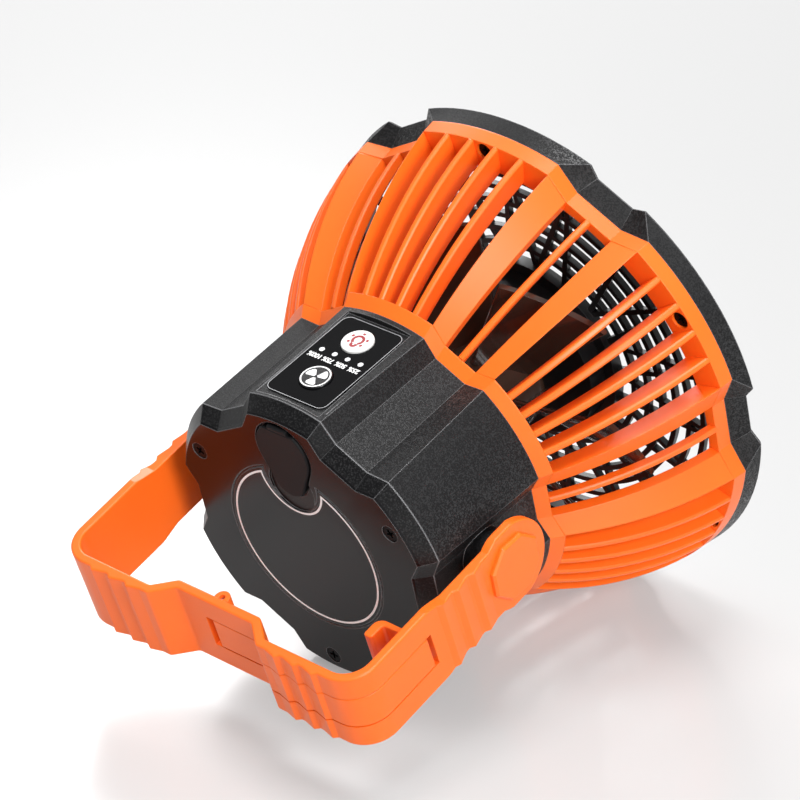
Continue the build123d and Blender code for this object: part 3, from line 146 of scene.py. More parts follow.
def arc(centre, radius, start, end, count):
    """Return points on an arc, from the start angle to the end angle in degrees."""
    angles = np.radians(np.linspace(start, end, count))
    return np.stack([centre[0] + radius * np.cos(angles), centre[1] + radius * np.sin(angles)], 1)


def circle(centre, radius, count):
    """Return points once round a circle, without repeating the first."""
    return arc(centre, radius, 0, 360, count + 1)[:-1]


def rounded_rectangle(half_width, low, high, radius):
    """Return points round a rectangle: a quarter circle at each of its corners in turn."""
    places = (
        (half_width - radius, low + radius, -90),
        (half_width - radius, high - radius, 0),
        (radius - half_width, high - radius, 90),
        (radius - half_width, low + radius, 180),
    )
    return np.concatenate(
        [arc((x, y), radius, start, start + 90, CORNER_STEPS) for x, y, start in places]
    )


def grid_faces(rows, columns, wrap_rows, wrap_columns):
    """Return the quads of a grid of vertices, joined round where it wraps."""
    r = np.arange(rows if wrap_rows else rows - 1)
    c = np.arange(columns if wrap_columns else columns - 1)
    r, c = [grid.ravel() for grid in np.meshgrid(r, c, indexing="ij")]
    start, onward = r * columns, (r + 1) % rows * columns
    next_c = (c + 1) % columns
    return np.stack([start + c, start + next_c, onward + next_c, onward + c], 1)


def make_piece(name, points, faces, material, body):
    """Make a mesh object from points and faces, turn its faces outwards and put it on a body."""
    mesh = bpy.data.meshes.new(name)
    mesh.from_pydata([tuple(p) for p in points], [], [tuple(int(i) for i in f) for f in faces])
    piece = bpy.data.objects.new(name, mesh)
    bpy.context.scene.collection.objects.link(piece)
    face_outwards(piece)
    return dress_piece(piece, material, body)


def face_outwards(piece):
    """Merge what coincides and recalculate the normals of a closed mesh."""
    bpy.ops.object.select_all(action="DESELECT")
    bpy.context.view_layer.objects.active = piece
    piece.select_set(True)
    bpy.ops.object.mode_set(mode="EDIT")
    bpy.ops.mesh.select_all(action="SELECT")
    bpy.ops.mesh.remove_doubles(threshold=MERGE_DISTANCE)
    bpy.ops.mesh.normals_make_consistent(inside=False)
    bpy.ops.object.mode_set(mode="OBJECT")


def dress_piece(piece, material, body):
    """Give a piece its material, body and slot."""
    piece.data.materials.clear()
    piece.data.materials.append(material)
    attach(piece, body)
    return piece


def unit(vectors):
    """Return flat vectors brought to length 1; one without length stays as it is."""
    return vectors / np.maximum(np.linalg.norm(vectors, axis=1, keepdims=True), TINY)


def leftward(vectors):
    """Return flat vectors turned a quarter to the left."""
    return np.stack([-vectors[:, 1], vectors[:, 0]], 1)


def band_edges(path, width, closed):
    """Offset a path half a width to each side along its mean normal; return both edges."""
    if closed:
        before, after = np.roll(path, 1, 0), np.roll(path, -1, 0)
    else:
        before = np.concatenate([path[:1], path[:-1]])
        after = np.concatenate([path[1:], path[-1:]])
    arriving, leaving = unit(path - before), unit(after - path)
    if not closed:
        arriving[0], leaving[-1] = leaving[0], arriving[-1]
    normal = leftward(unit(arriving + leaving))
    bend = (normal * leftward(arriving)).sum(1, keepdims=True)
    reach = normal * (width / 2 / np.clip(bend, LEAST_BEND, 1))
    return path + reach, path - reach


def ribbon(face, path, width, low, high, closed=True):
    """A four-sided profile carried along a path on a face: it is a printed line with a thickness.

    Point (i, j) is edge i of the path moved to side j, at height low, high, high, low in turn.
    """
    left, right = band_edges(path, width, closed)
    points = np.stack(
        [face.at(left, low), face.at(left, high), face.at(right, high), face.at(right, low)], 1
    ).reshape(-1, 3)
    faces = [tuple(f) for f in grid_faces(len(path), 4, closed, True)]
    if not closed:
        last = 4 * (len(path) - 1)
        faces += [(0, 1, 2, 3), (last + 3, last + 2, last + 1, last)]
    return points, faces


def rings(face, outline, steps):
    """Return rings of points and the quads between them.

    Ring i is the outline drawn in to share i of its way from the middle, at height i.
    """
    centre = outline.mean(0)
    points = [face.at(centre + share * (outline - centre), height) for share, height in steps]
    faces = grid_faces(len(points), len(outline), False, True)
    return np.concatenate(points), [tuple(f) for f in faces]


def pad(face, outline, low, high):
    """A flat island: rings at the foot's middle and edge, then at the top's edge and middle."""
    return rings(face, outline, ((0, low), (1, low), (1, high), (0, high)))


def dome(face, outline, low, high):
    """A raised island: its share of the outline falls as a cosine, its height grows as a sine."""
    turn = np.radians(np.linspace(0, 90, DOME_RINGS))
    shares = np.concatenate([[0], np.cos(turn)])
    heights = np.concatenate([[low], low + (high - low) * np.sin(turn)])
    return rings(face, outline, list(zip(shares, heights)))


def joined(parts):
    """Join several (points, faces) pairs into one."""
    points, faces, count = [], [], 0
    for part_points, part_faces in parts:
        points.append(part_points)
        faces += [tuple(int(i) + count for i in f) for f in part_faces]
        count += len(part_points)
    return np.concatenate(points), faces


# ---------------------------------------------------------------- shader maths

# Sockets of the Mix node when it mixes colours
MIX_SHARE, MIX_FIRST, MIX_SECOND, MIX_RESULT = 0, 6, 7, 2
# The edge shows from the first of these departures from flat, and fully at the second
EDGE_FROM, EDGE_FULL = 0.01, 0.16
BEVEL_SAMPLES = 4
# Detail of a noise: soft clouds, plain spots and fine grain
SOFT, PLAIN, FINE = 1.0, 2.0, 3.0


class Value:
    """An output of a shader node. Sums and products of it, and 1 less it, add Math nodes."""

    def __init__(self, shader, socket):
        self.shader = shader
        self.socket = socket

    def maths(self, operation, first, second):
        """Return the result of a Math node on two values or numbers."""
        return self.shader.node("ShaderNodeMath", {"operation": operation}, {0: first, 1: second})

    def __add__(self, other):
        return self.maths("ADD", self, other)

    def __rsub__(self, other):
        return self.maths("SUBTRACT", other, self)

    def __mul__(self, other):
        return self.maths("MULTIPLY", self, other)


class Shader:
    """A material with one principled surface, whose constant sockets are set by name."""

    def __init__(self, name, **constants):
        self.material = bpy.data.materials.new(name)
        self.material.use_nodes = True
        self.tree = self.material.node_tree
        self.surface = self.tree.nodes["Principled BSDF"]
        for socket, value in constants.items():
            self.surface.inputs[socket.replace("_", " ")].default_value = value

    def node(self, kind, settings=None, inputs=None, output=0):
        """Add a node: its settings first, then the values or links of its sockets."""
        made = self.tree.nodes.new(kind)
        for key, value in (settings or {}).items():
            setattr(made, key, value)
        for key, value in (inputs or {}).items():
            self.feed(made.inputs[key], value)
        return Value(self, made.outputs[output])

    def feed(self, socket, value):
        """Link a Value to a socket, or set the socket to a plain value."""
        if isinstance(value, Value):
            self.tree.links.new(value.socket, socket)
        else:
            socket.default_value = value

    def place(self):
        """Return the place on the piece, in metres."""
        return self.node("ShaderNodeTexCoord", output="Object")

    def noise(self, grain, detail=PLAIN, stretch=None):
        """Return smooth noise from 0 to 1 whose spots are about this size in metres."""
        place = self.place()
        if stretch:
            place = self.node("ShaderNodeMapping", None, {"Vector": place, "Scale": stretch})
        inputs = {"Vector": place, "Scale": 1 / grain, "Detail": detail}
        return self.node("ShaderNodeTexNoise", None, inputs)

    def ramp(self, value, low, high):
        """Return 0 below low and 1 above high, straight between."""
        inputs = {"Value": value, "From Min": low, "From Max": high}
        return self.node("ShaderNodeMapRange", None, inputs)

    def mix(self, share, first, second):
        """Return a colour between two."""
        inputs = {MIX_SHARE: share, MIX_FIRST: first, MIX_SECOND: second}
        return self.node("ShaderNodeMix", {"data_type": "RGBA"}, inputs, MIX_RESULT)

    def dot(self, first, second):
        """Return the dot product of two directions."""
        settings = {"operation": "DOT_PRODUCT"}
        return self.node("ShaderNodeVectorMath", settings, {0: first, 1: second}, "Value")

    def round_edge(self, radius):
        """Return the surface's direction with its sharp edges rounded off by this radius."""
        return self.node("ShaderNodeBevel", {"samples": BEVEL_SAMPLES}, {"Radius": radius})

    def edge_share(self, rounded):
        """Return about 0 on flat ground and up to 1 on an edge that is rounded off."""
        true = self.node("ShaderNodeNewGeometry", output="Normal")
        return self.ramp(1 - self.dot(rounded, true), EDGE_FROM, EDGE_FULL)

    def bump(self, height, distance, normal=None):
        """Return the surface's direction with a height in this distance laid over it."""
        inputs = {"Height": height, "Distance": distance, "Strength": 1.0}
        if normal:
            inputs["Normal"] = normal
        return self.node("ShaderNodeBump", None, inputs)

    def finish(self, **links):
        """Feed what varies into the surface and return the material."""
        for socket, value in links.items():
            self.feed(self.surface.inputs[socket.replace("_", " ")], value)
        return self.material


class Sky(Shader):
    """The light from all round, which is one background."""

    def __init__(self, name):
        world = bpy.data.worlds.new(name)
        world.use_nodes = True
        bpy.context.scene.world = world
        self.material = world
        self.tree = world.node_tree
        self.surface = self.tree.nodes["Background"]
        self.surface.inputs["Color"].default_value = (1, 1, 1, 1)


def rgba(colour):
    """Return a colour with full cover."""
    return (*colour[:3], 1.0)


def shade(colour, factor):
    """Return a colour made lighter or darker."""
    return tuple(min(1.0, channel * factor) for channel in colour[:3])


# ---------------------------------------------------------------- finishes


# How wide the slow changes across a finish are
FLOW_SIZE = 18 * MM
PATCH_SIZE = 25 * MM
METAL_SPOTS = 6 * MM
LENS_CLOUDS = 9 * MM
# How much painted highlight covers the edges, on plain and on grained mouldings
PLAIN_HIGHLIGHT, GRAIN_HIGHLIGHT = 0.5, 0.8
# How much of the relief of plain mouldings is flow marks
FLOW_RELIEF = 0.15
# The black grain: how much coarser its second noise is, the fine noise's share of the specks
# and of the relief, where pits begin and are full, and how far patches thin out the painted glints
COARSER = 2.6
FINE_SPECKS, FINE_RELIEF = 0.75, 0.6
PIT_FROM, PIT_FULL = 0.48, 0.58
PATCHES = 0.4
# The cover: where pits begin and are full, how much their specks of painted glint cover, and its
# roughness on the flat face with what the grain and the flow marks add
COVER_PIT_FROM, COVER_PIT_FULL, COVER_GLINTS = 0.5, 0.64, 0.6
COVER_ROUGH, COVER_GRAIN_ROUGH, COVER_FLOW_ROUGH = 0.2, 0.1, 0.06
# Where the cover's flat face has ended and where its grain is full, in front of the face
GRAIN_FROM, GRAIN_FULL = 0.55 * MM, 0.75 * MM
# Marks of drawn and turned metal are this much finer along the last direction
DRAWN = (1, 1, 12)
# The painted highlight on the black grain's edges is this much paler than its specks
HIGHLIGHT_GAIN = 9.0
SLIGHT_EDGE = 0.3 * MM
METAL_EDGE = 0.12 * MM
METAL_RELIEF = 0.01 * MM
TRACK_SPACING = 2.2 * MM
TRACK_EDGE, TRACK_END = 0.04, 0.09
SURFACE_RELIEF = 0.03 * MM
INK_GRAIN = 0.25 * MM
FROST_GRAIN = 0.4 * MM


def moulded(name, colour, rough, grain, relief, edge, edge_light=1.0, uneven=0.08, **constants):
    """Moulded plastic: grain and faint flow marks in it, and a painted highlight that makes its edges paler.
    """
    shader = Shader(name, **constants)
    fine = shader.noise(grain)
    flow = shader.noise(FLOW_SIZE, SOFT)
    normal = shader.round_edge(edge)
    tint = shader.mix(flow, rgba(shade(colour, 1 - uneven)), rgba(shade(colour, 1 + uneven)))
    # Painted highlight: the edges are lighter in colour, standing in for the light they catch
    highlight_share = shader.edge_share(normal)
    tint = shader.mix(highlight_share * PLAIN_HIGHLIGHT, tint, rgba(shade(colour, edge_light)))
    low, high = rough
    roughness = fine * (high - low) + low
    bumped = shader.bump(fine + flow * FLOW_RELIEF, relief, normal)
    return shader.finish(Base_Color=tint, Roughness=roughness, Normal=bumped)


def spark_grain(name, colour, glint_speck, rough, grain, relief, edge, edge_light):
    """Spark-eroded black plastic: tiny pits, pale specks on them that are painted glints, and a painted
    highlight on the edges.
    """
    shader = Shader(name, Specular_IOR_Level=0.27)
    fine = shader.noise(grain, FINE)
    coarse = shader.noise(grain * COARSER)
    patch = shader.noise(PATCH_SIZE, SOFT)
    normal = shader.round_edge(edge)
    highlight_share = shader.edge_share(normal)
    spots = fine * FINE_SPECKS + coarse * (1 - FINE_SPECKS)
    pits = shader.ramp(spots, PIT_FROM, PIT_FULL)
    # Painted glints: the pits are paler specks in the colour, thinned out in patches
    tint = shader.mix(pits * (patch * PATCHES + (1 - PATCHES)), rgba(colour), rgba(glint_speck))
    # Painted highlight: the edges are paler in colour
    tint = shader.mix(highlight_share * GRAIN_HIGHLIGHT, tint, rgba(edge_light))
    low, high = rough
    roughness = (1 - pits) * (high - low) + low
    bumped = shader.bump(fine * FINE_RELIEF + coarse * (1 - FINE_RELIEF), relief, normal)
    return shader.finish(Base_Color=tint, Roughness=roughness, Normal=bumped)


def cover_finish(name, colour, glint_speck, grain, relief, edge, edge_light):
    """The back cover: satin on its flat face and spark grain on the bevels and sides round it."""
    shader = Shader(name, Specular_IOR_Level=0.28)
    depth = shader.dot(shader.place(), tuple(FORWARD))
    start = BACK_MIDDLE.dot(FORWARD)
    side = shader.ramp(depth, start + GRAIN_FROM, start + GRAIN_FULL)
    fine = shader.noise(grain, FINE)
    flow = shader.noise(FLOW_SIZE, SOFT)
    # Painted glints: pale specks on the pits of the grained bevels and sides
    pits = shader.ramp(fine, COVER_PIT_FROM, COVER_PIT_FULL) * side * COVER_GLINTS
    normal = shader.round_edge(edge)
    highlight_share = shader.edge_share(normal)
    tint = shader.mix(flow, rgba(shade(colour, 0.8)), rgba(shade(colour, 1.2)))
    tint = shader.mix(pits, tint, rgba(glint_speck))
    # Painted highlight: the edges are paler in colour
    tint = shader.mix(highlight_share * GRAIN_HIGHLIGHT, tint, rgba(edge_light))
    bumped = shader.bump(fine * side, relief, normal)
    roughness = side * COVER_GRAIN_ROUGH + flow * COVER_FLOW_ROUGH + COVER_ROUGH
    return shader.finish(Base_Color=tint, Roughness=roughness, Normal=bumped)


def metal(name, colour, rough, grain):
    """Metal with drawn or turned marks: noise pulled out along one direction."""
    shader = Shader(name, Metallic=1.0)
    lines = shader.noise(grain, stretch=DRAWN)
    spots = shader.noise(METAL_SPOTS)
    normal = shader.round_edge(METAL_EDGE)
    tint = shader.mix(spots, rgba(shade(colour, 0.82)), rgba(shade(colour, 1.08)))
    low, high = rough
    roughness = lines * (high - low) + low
    bumped = shader.bump(lines, METAL_RELIEF, normal)
    return shader.finish(Base_Color=tint, Roughness=roughness, Normal=bumped)


def circuit_board(name, colour, trace):
    """Solder mask over copper: cells joined by thin lighter lines, as the tracks show through."""
    shader = Shader(name, Coat_Weight=0.3)
    cells = shader.node(
        "ShaderNodeTexVoronoi",
        {"feature": "DISTANCE_TO_EDGE"},
        {"Vector": shader.place(), "Scale": 1 / TRACK_SPACING},
    )
    track = 1 - shader.ramp(cells, TRACK_EDGE, TRACK_END)
    tint = shader.mix(track, rgba(colour), rgba(trace))
    bumped = shader.bump(track, SURFACE_RELIEF)
    return shader.finish(Base_Color=tint, Roughness=track * 0.1 + 0.25, Normal=bumped)


def printed(name, colour):
    """Printing ink: even colour, with a fine unevenness in its cover."""
    shader = Shader(name)
    cover = shader.noise(INK_GRAIN)
    tint = shader.mix(cover, rgba(shade(colour, 0.9)), rgba(colour))
    return shader.finish(Base_Color=tint, Roughness=cover * 0.1 + 0.45)


def lens_plastic(name, colour):
    """Frosted plastic that lets the lamp's diodes show as blurred spots."""
    shader = Shader(name, Transmission_Weight=0.8, IOR=1.49)
    frost = shader.noise(FROST_GRAIN)
    cloud = shader.noise(LENS_CLOUDS, SOFT)
    tint = shader.mix(cloud, rgba(shade(colour, 0.95)), rgba(colour))
    bumped = shader.bump(frost, SURFACE_RELIEF)
    return shader.finish(Base_Color=tint, Roughness=frost * 0.1 + 0.14, Normal=bumped)


def dress(material, *nodes):
    """Put a material in every slot of these nodes."""
    for node in nodes:
        slots = NODES[node].data.materials
        if not slots:
            slots.append(material)
        for index in range(len(slots)):
            slots[index] = material


# Small mouldings: the nodes each is for, and how it looks
# Edge factors above 1 make a painted highlight on the edges
SMALL_MOULDINGS = {
    "panel_film": (("panel_overlay",), {
        "colour": (0.002, 0.002, 0.0025), "rough": (0.07, 0.12), "grain": 3 * MM,
        "relief": 0.004 * MM, "edge": 0.1 * MM, "edge_light": 6.0, "Specular_IOR_Level": 0.2,
    }),
    "white_button": (("light_button",), {
        "colour": (0.8, 0.8, 0.79), "rough": (0.22, 0.3), "grain": 0.8 * MM,
        "relief": 0.004 * MM, "edge": 0.3 * MM,
    }),
    "black_button": (("fan_button",), {
        "colour": (0.006, 0.006, 0.007), "rough": (0.2, 0.3), "grain": 0.8 * MM,
        "relief": 0.004 * MM, "edge": 0.3 * MM, "edge_light": 3.0,
    }),
    "light_pipe": (("charge_lights",), {
        "colour": (0.87, 0.88, 0.9), "rough": (0.25, 0.35), "grain": 0.4 * MM,
        "relief": 0.004 * MM, "edge": 0.1 * MM, "Transmission_Weight": 0.15,
    }),
    "end_cap": (("motor_end_cap", "pivot_washers"), {
        "colour": (0.6, 0.59, 0.55), "rough": (0.4, 0.5), "grain": 0.5 * MM,
        "relief": 0.01 * MM, "edge": 0.2 * MM,
    }),
    "cell_wrap": (("battery_cells",), {
        "colour": (0.03, 0.12, 0.36), "rough": (0.2, 0.3), "grain": 2 * MM,
        "relief": 0.01 * MM, "edge": 0.2 * MM,
    }),
    "diode": (("lamp_leds",), {
        "colour": (0.9, 0.72, 0.2), "rough": (0.3, 0.42), "grain": 0.5 * MM,
        "relief": 0.01 * MM, "edge": 0.1 * MM,
    }),
}
# Metals: the nodes each is for, and how it looks
METALS = {
    "screw_steel": (
        ("motor_screws", "bracket_screws", "cage_screws", "board_screws", "pivot_screws"),
        {"colour": (0.1, 0.1, 0.11), "rough": (0.3, 0.5), "grain": 0.5 * MM},
    ),
    # Near black: painted shade, so that the sunk screw heads read as dark holes
    "blackened_steel": (
        ("rim_screws", "back_cover_screws"),
        {"colour": (0.012, 0.012, 0.013), "rough": (0.4, 0.6), "grain": 0.5 * MM},
    ),
    "plated_steel": (
        ("motor_can", "motor_shaft", "charging_port", "hook_pin", "battery_tabs"),
        {"colour": (0.62, 0.62, 0.63), "rough": (0.2, 0.36), "grain": 0.5 * MM},
    ),
    "turned_brass": (
        ("impeller_collar",),
        {"colour": (0.72, 0.52, 0.22), "rough": (0.22, 0.35), "grain": 0.4 * MM},
    ),
}
# Circuit boards: the nodes each is for, and the colours of its mask and tracks
BOARDS = {
    "solder_mask": (
        ("control_board", "charge_board"),
        {"colour": (0.012, 0.12, 0.04), "trace": (0.03, 0.24, 0.08)},
    ),
    "lamp_mask": (
        ("lamp_board",), {"colour": (0.72, 0.72, 0.7), "trace": (0.8, 0.8, 0.78)},
    ),
}


# ---------------------------------------------------------------- settings


class FinishSettings(bpy.types.PropertyGroup):
    """Colours and grain of the mouldings."""

    orange: bpy.props.FloatVectorProperty(
        name="Orange", description="Colour of the cage, bail and hook", subtype="COLOR",
        size=3, min=0, max=1, default=(0.97, 0.15, 0.011),
    )
    black: bpy.props.FloatVectorProperty(
        name="Black", description="Colour of the drum, cover and bezel", subtype="COLOR",
        size=3, min=0, max=1, default=(0.0025, 0.0025, 0.003),
    )
    # The specks are painted glints: pale spots in the colour of the black grain
    glint_speck: bpy.props.FloatVectorProperty(
        name="Speck", description="Colour of the specks in the black grain", subtype="COLOR",
        size=3, min=0, max=1, default=(0.034, 0.034, 0.035),
    )
    blade: bpy.props.FloatVectorProperty(
        name="Blade", description="Colour of the impeller", subtype="COLOR",
        size=3, min=0, max=1, default=(0.05, 0.026, 0.018),
    )
    grain: bpy.props.FloatProperty(
        name="Grain", description="Size of the spots in the black grain",
        unit="LENGTH", subtype="DISTANCE", default=0.48 * MM,
    )
    relief: bpy.props.FloatProperty(
        name="Relief", description="Depth of the black grain",
        unit="LENGTH", subtype="DISTANCE", default=0.07 * MM,
    )
    edge: bpy.props.FloatProperty(
        name="Edge", description="Radius of the mouldings' edges",
        unit="LENGTH", subtype="DISTANCE", default=0.45 * MM,
    )


class PrintSettings(bpy.types.PropertyGroup):
    """Sizes of the printing on the panel, buttons and back cover, and of the plug's tab."""

    ink_low: bpy.props.FloatProperty(
        name="Ink foot", description="How far the ink reaches into its ground",
        unit="LENGTH", subtype="DISTANCE", default=0.03 * MM,
    )
    ink_high: bpy.props.FloatProperty(
        name="Ink height", description="How far the ink stands above its ground",
        unit="LENGTH", subtype="DISTANCE", default=0.03 * MM,
    )
    border_width: bpy.props.FloatProperty(
        name="Border", description="Width of the line round the panel",
        unit="LENGTH", subtype="DISTANCE", default=0.24 * MM,
    )
    label_radius: bpy.props.FloatProperty(
        name="Label ring", description="Radius of the ring on the back cover",
        unit="LENGTH", subtype="DISTANCE", default=28.3 * MM,
    )
    label_width: bpy.props.FloatProperty(
        name="Label line", description="Width of the ring on the back cover",
        unit="LENGTH", subtype="DISTANCE", default=0.7 * MM,
    )
    bite_radius: bpy.props.FloatProperty(
        name="Bite", description="Radius of the arc that steps round the plug",
        unit="LENGTH", subtype="DISTANCE", default=12.4 * MM,
    )
    bite_height: bpy.props.FloatProperty(
        name="Bite height", description="How far that arc's middle is above the axis",
        unit="LENGTH", subtype="DISTANCE", default=27.0 * MM,
    )
    tab_width: bpy.props.FloatProperty(
        name="Tab width", description="Width of the tab on the plug",
        unit="LENGTH", subtype="DISTANCE", default=2.4 * MM,
    )
    tab_height: bpy.props.FloatProperty(
        name="Tab height", description="How far the tab stands above the plug",
        unit="LENGTH", subtype="DISTANCE", default=1.1 * MM,
    )
    number_height: bpy.props.FloatProperty(
        name="Numbers", description="Height of the charge numbers",
        unit="LENGTH", subtype="DISTANCE", default=2.6 * MM,
    )


class StageSettings(bpy.types.PropertyGroup):
    """Camera, lights and floor."""

    camera_place: bpy.props.FloatVectorProperty(
        name="Camera place", description="Where the camera stands",
        unit="LENGTH", subtype="XYZ", size=3, default=(0.66248, -0.76028, 0.58526),
    )
    camera_turn: bpy.props.FloatVectorProperty(
        name="Camera turn", description="Turn of the camera about X, Y and Z",
        unit="ROTATION", subtype="EULER", size=3,
        default=tuple(math.radians(angle) for angle in (63.577, -0.924, 41.63)),
    )
    lens: bpy.props.FloatProperty(
        name="Lens", description="Focal length in millimetres",
        subtype="DISTANCE_CAMERA", default=164.65,
    )
    floor_size: bpy.props.FloatProperty(
        name="Floor", description="Side of the floor",
        unit="LENGTH", subtype="DISTANCE", default=12.0,
    )
    floor_colour: bpy.props.FloatVectorProperty(
        name="Floor colour", description="Colour of the floor", subtype="COLOR",
        size=3, min=0, max=1, default=(0.36, 0.36, 0.36),
    )
    floor_glow: bpy.props.FloatProperty(
        name="Floor glow", description="Light that shines up through the floor",
        subtype="FACTOR", default=0.31,
    )
    sky: bpy.props.FloatProperty(
        name="Sky", description="Strength of the sky straight above",
        subtype="FACTOR", default=0.82,
    )
    horizon: bpy.props.FloatProperty(
        name="Horizon", description="Strength of the sky at the horizon",
        subtype="FACTOR", default=0.8,
    )
    key_power: bpy.props.FloatProperty(
        name="Key light", description="Power of the light above the fan",
        unit="POWER", default=12.0,
    )
    side_power: bpy.props.FloatProperty(
        name="Side light", description="Power of the light at the fan's side",
        unit="POWER", default=17.0,
    )
    back_power: bpy.props.FloatProperty(
        name="Back light", description="Power of the low light behind the fan",
        unit="POWER", default=9.0,
    )


# ---------------------------------------------------------------- operators

# Printing on the panel: its corners' radius, and how far the numbers are behind the lights
PANEL_CORNER = 3 * MM
NUMBER_DROP = 3.1 * MM
CHARGES = (25, 50, 75, 100)
# The numbers' letters: their spacing, how much bolder they are, and the steps in a curve
LETTER_SPACING = 0.92
LETTER_WEIGHT = 0.08 * MM
LETTER_STEPS = 3

# The light icon: a round bulb open below, a neck under it and rays round its top, all in lines of
# one width. Each arc is its start angle, end angle and points.
ICON_LINE = 0.95 * MM
BULB_RISE, BULB_RADIUS, BULB_ARC = 0.35 * MM, 1.75 * MM, (-60, 240, 40)
NECK_DROP, NECK_RADIUS, NECK_ARC = 2.25 * MM, 0.85 * MM, (150, 390, 24)
RAY_ANGLES = (-35, 20, 90, 160, 215)
RAY_FROM, RAY_TO = 2.6 * MM, 3.45 * MM

# The fan icon: a ring and three blades. A blade reaches from its root over its length, grows from
# half a width at the root, rounds off past a share of its length and leans by its swirl.
RING_RADIUS, RING_LINE, RING_STEPS = 4.6 * MM, 0.5 * MM, 64
BLADE_HEADINGS = (35, 155, 275)
BLADE_ROOT, BLADE_LENGTH, BLADE_STEPS = 0.5 * MM, 3.3 * MM, 24
BLADE_HALF, BLADE_GROWTH = 0.35 * MM, 2.0 * MM
BLADE_ROUND_FROM, BLADE_SWIRL = 0.6, 0.35 * MM

# The label ring: points on its long arc and on the arc round the plug
LABEL_STEPS, BITE_STEPS = 120, 40

# The plug's tab: how many of its widths it is from the plug's free end, how much longer it is than
# wide, how far its foot is sunk in, and its points
TAB_INSET, TAB_STRETCH, TAB_FOOT, TAB_STEPS = 1.6, 1.5, 0.2 * MM, 40

# The stage: the camera's sensor in millimetres and its clipping in metres, the floor's points
# along a side and the size of its clouds, what the lights aim at, and their places and sizes
SENSOR = 36.0
CLIP_START, CLIP_END = 0.05, 50.0
FLOOR_STEPS = 9
FLOOR_CLOUDS = 0.6
AIM = Vector((0, 0, 0.08))
LIGHTS = {
    "key": ((0.1, -0.1, 1.35), 0.7),
    "side": ((1.1, -0.5, 0.75), 0.6),
    "back": ((-0.85, 0.75, 0.75), 0.6),
}


class FAN_OT_mouldings(bpy.types.Operator):
    """Give the cage, bail, drum, cover, bezel and grille their moulded finishes."""

    bl_idname = "fan.mouldings"
    bl_label = "Finish the mouldings"

    def execute(self, context):
        look = context.scene.fan_finish
        black, glint_speck = tuple(look.black), tuple(look.glint_speck)
        # Painted highlight on the edges: pale grey on the black grain, a paler shade of each colour on the
        # rest
        highlight_grey = shade(glint_speck, HIGHLIGHT_GAIN)
        orange = moulded(
            "orange_moulding", tuple(look.orange), rough=(0.3, 0.42), grain=0.5 * MM,
            relief=0.012 * MM, edge=look.edge, edge_light=1.2, uneven=0.05,
            Specular_IOR_Level=0.4, Subsurface_Weight=0.08, Subsurface_Scale=2 * MM,
            Subsurface_Radius=(1.0, 0.35, 0.1),
        )
        dress(orange, "cage_foot", "cage_ribs", "cage_rim", "bail", "hook")
        dress(orange, "left_pivot_cap", "right_pivot_cap")
        grain = spark_grain(
            "black_grain", black, glint_speck, rough=(0.2, 0.56), grain=look.grain,
            relief=look.relief, edge=look.edge, edge_light=highlight_grey,
        )
        dress(grain, "drum", "front_bezel")
        cover = cover_finish(
            "black_cover", black, glint_speck, grain=look.grain, relief=look.relief,
            edge=look.edge, edge_light=highlight_grey,
        )
        dress(cover, "back_cover")
        plain = moulded(
            "black_moulding", black, rough=(0.34, 0.44), grain=0.5 * MM, relief=0.01 * MM,
            edge=SLIGHT_EDGE, edge_light=3.0, uneven=0.1,
        )
        dress(plain, "front_grille", "lamp_cup", "motor_bracket")
        dress(plain, "battery_holder", "switch_bodies")
        blades = moulded(
            "smoky_blade", tuple(look.blade), rough=(0.1, 0.17), grain=1.2 * MM,
            relief=0.006 * MM, edge=SLIGHT_EDGE, edge_light=2.0, uneven=0.15, Coat_Weight=0.4,
        )
        dress(blades, "impeller")
        rubber = moulded(
            "plug_rubber", shade(black, 1.3), rough=(0.5, 0.66), grain=0.35 * MM,
            relief=0.02 * MM, edge=SLIGHT_EDGE, edge_light=2.4, uneven=0.1,
            Specular_IOR_Level=0.25,
        )
        dress(rubber, "port_plug")
        return {"FINISHED"}


class FAN_OT_small_parts(bpy.types.Operator):
    """Finish the film, buttons, lights, screws, motor, boards, cells and lamp."""

    bl_idname = "fan.small_parts"
    bl_label = "Finish the small parts"

    def execute(self, context):
        for finish, table in ((moulded, SMALL_MOULDINGS), (metal, METALS), (circuit_board, BOARDS)):
            for name, (nodes, look) in table.items():
                dress(finish(name, **look), *nodes)
        dress(lens_plastic("frosted_lens", (0.9, 0.9, 0.88)), "lamp_lens")
        return {"FINISHED"}


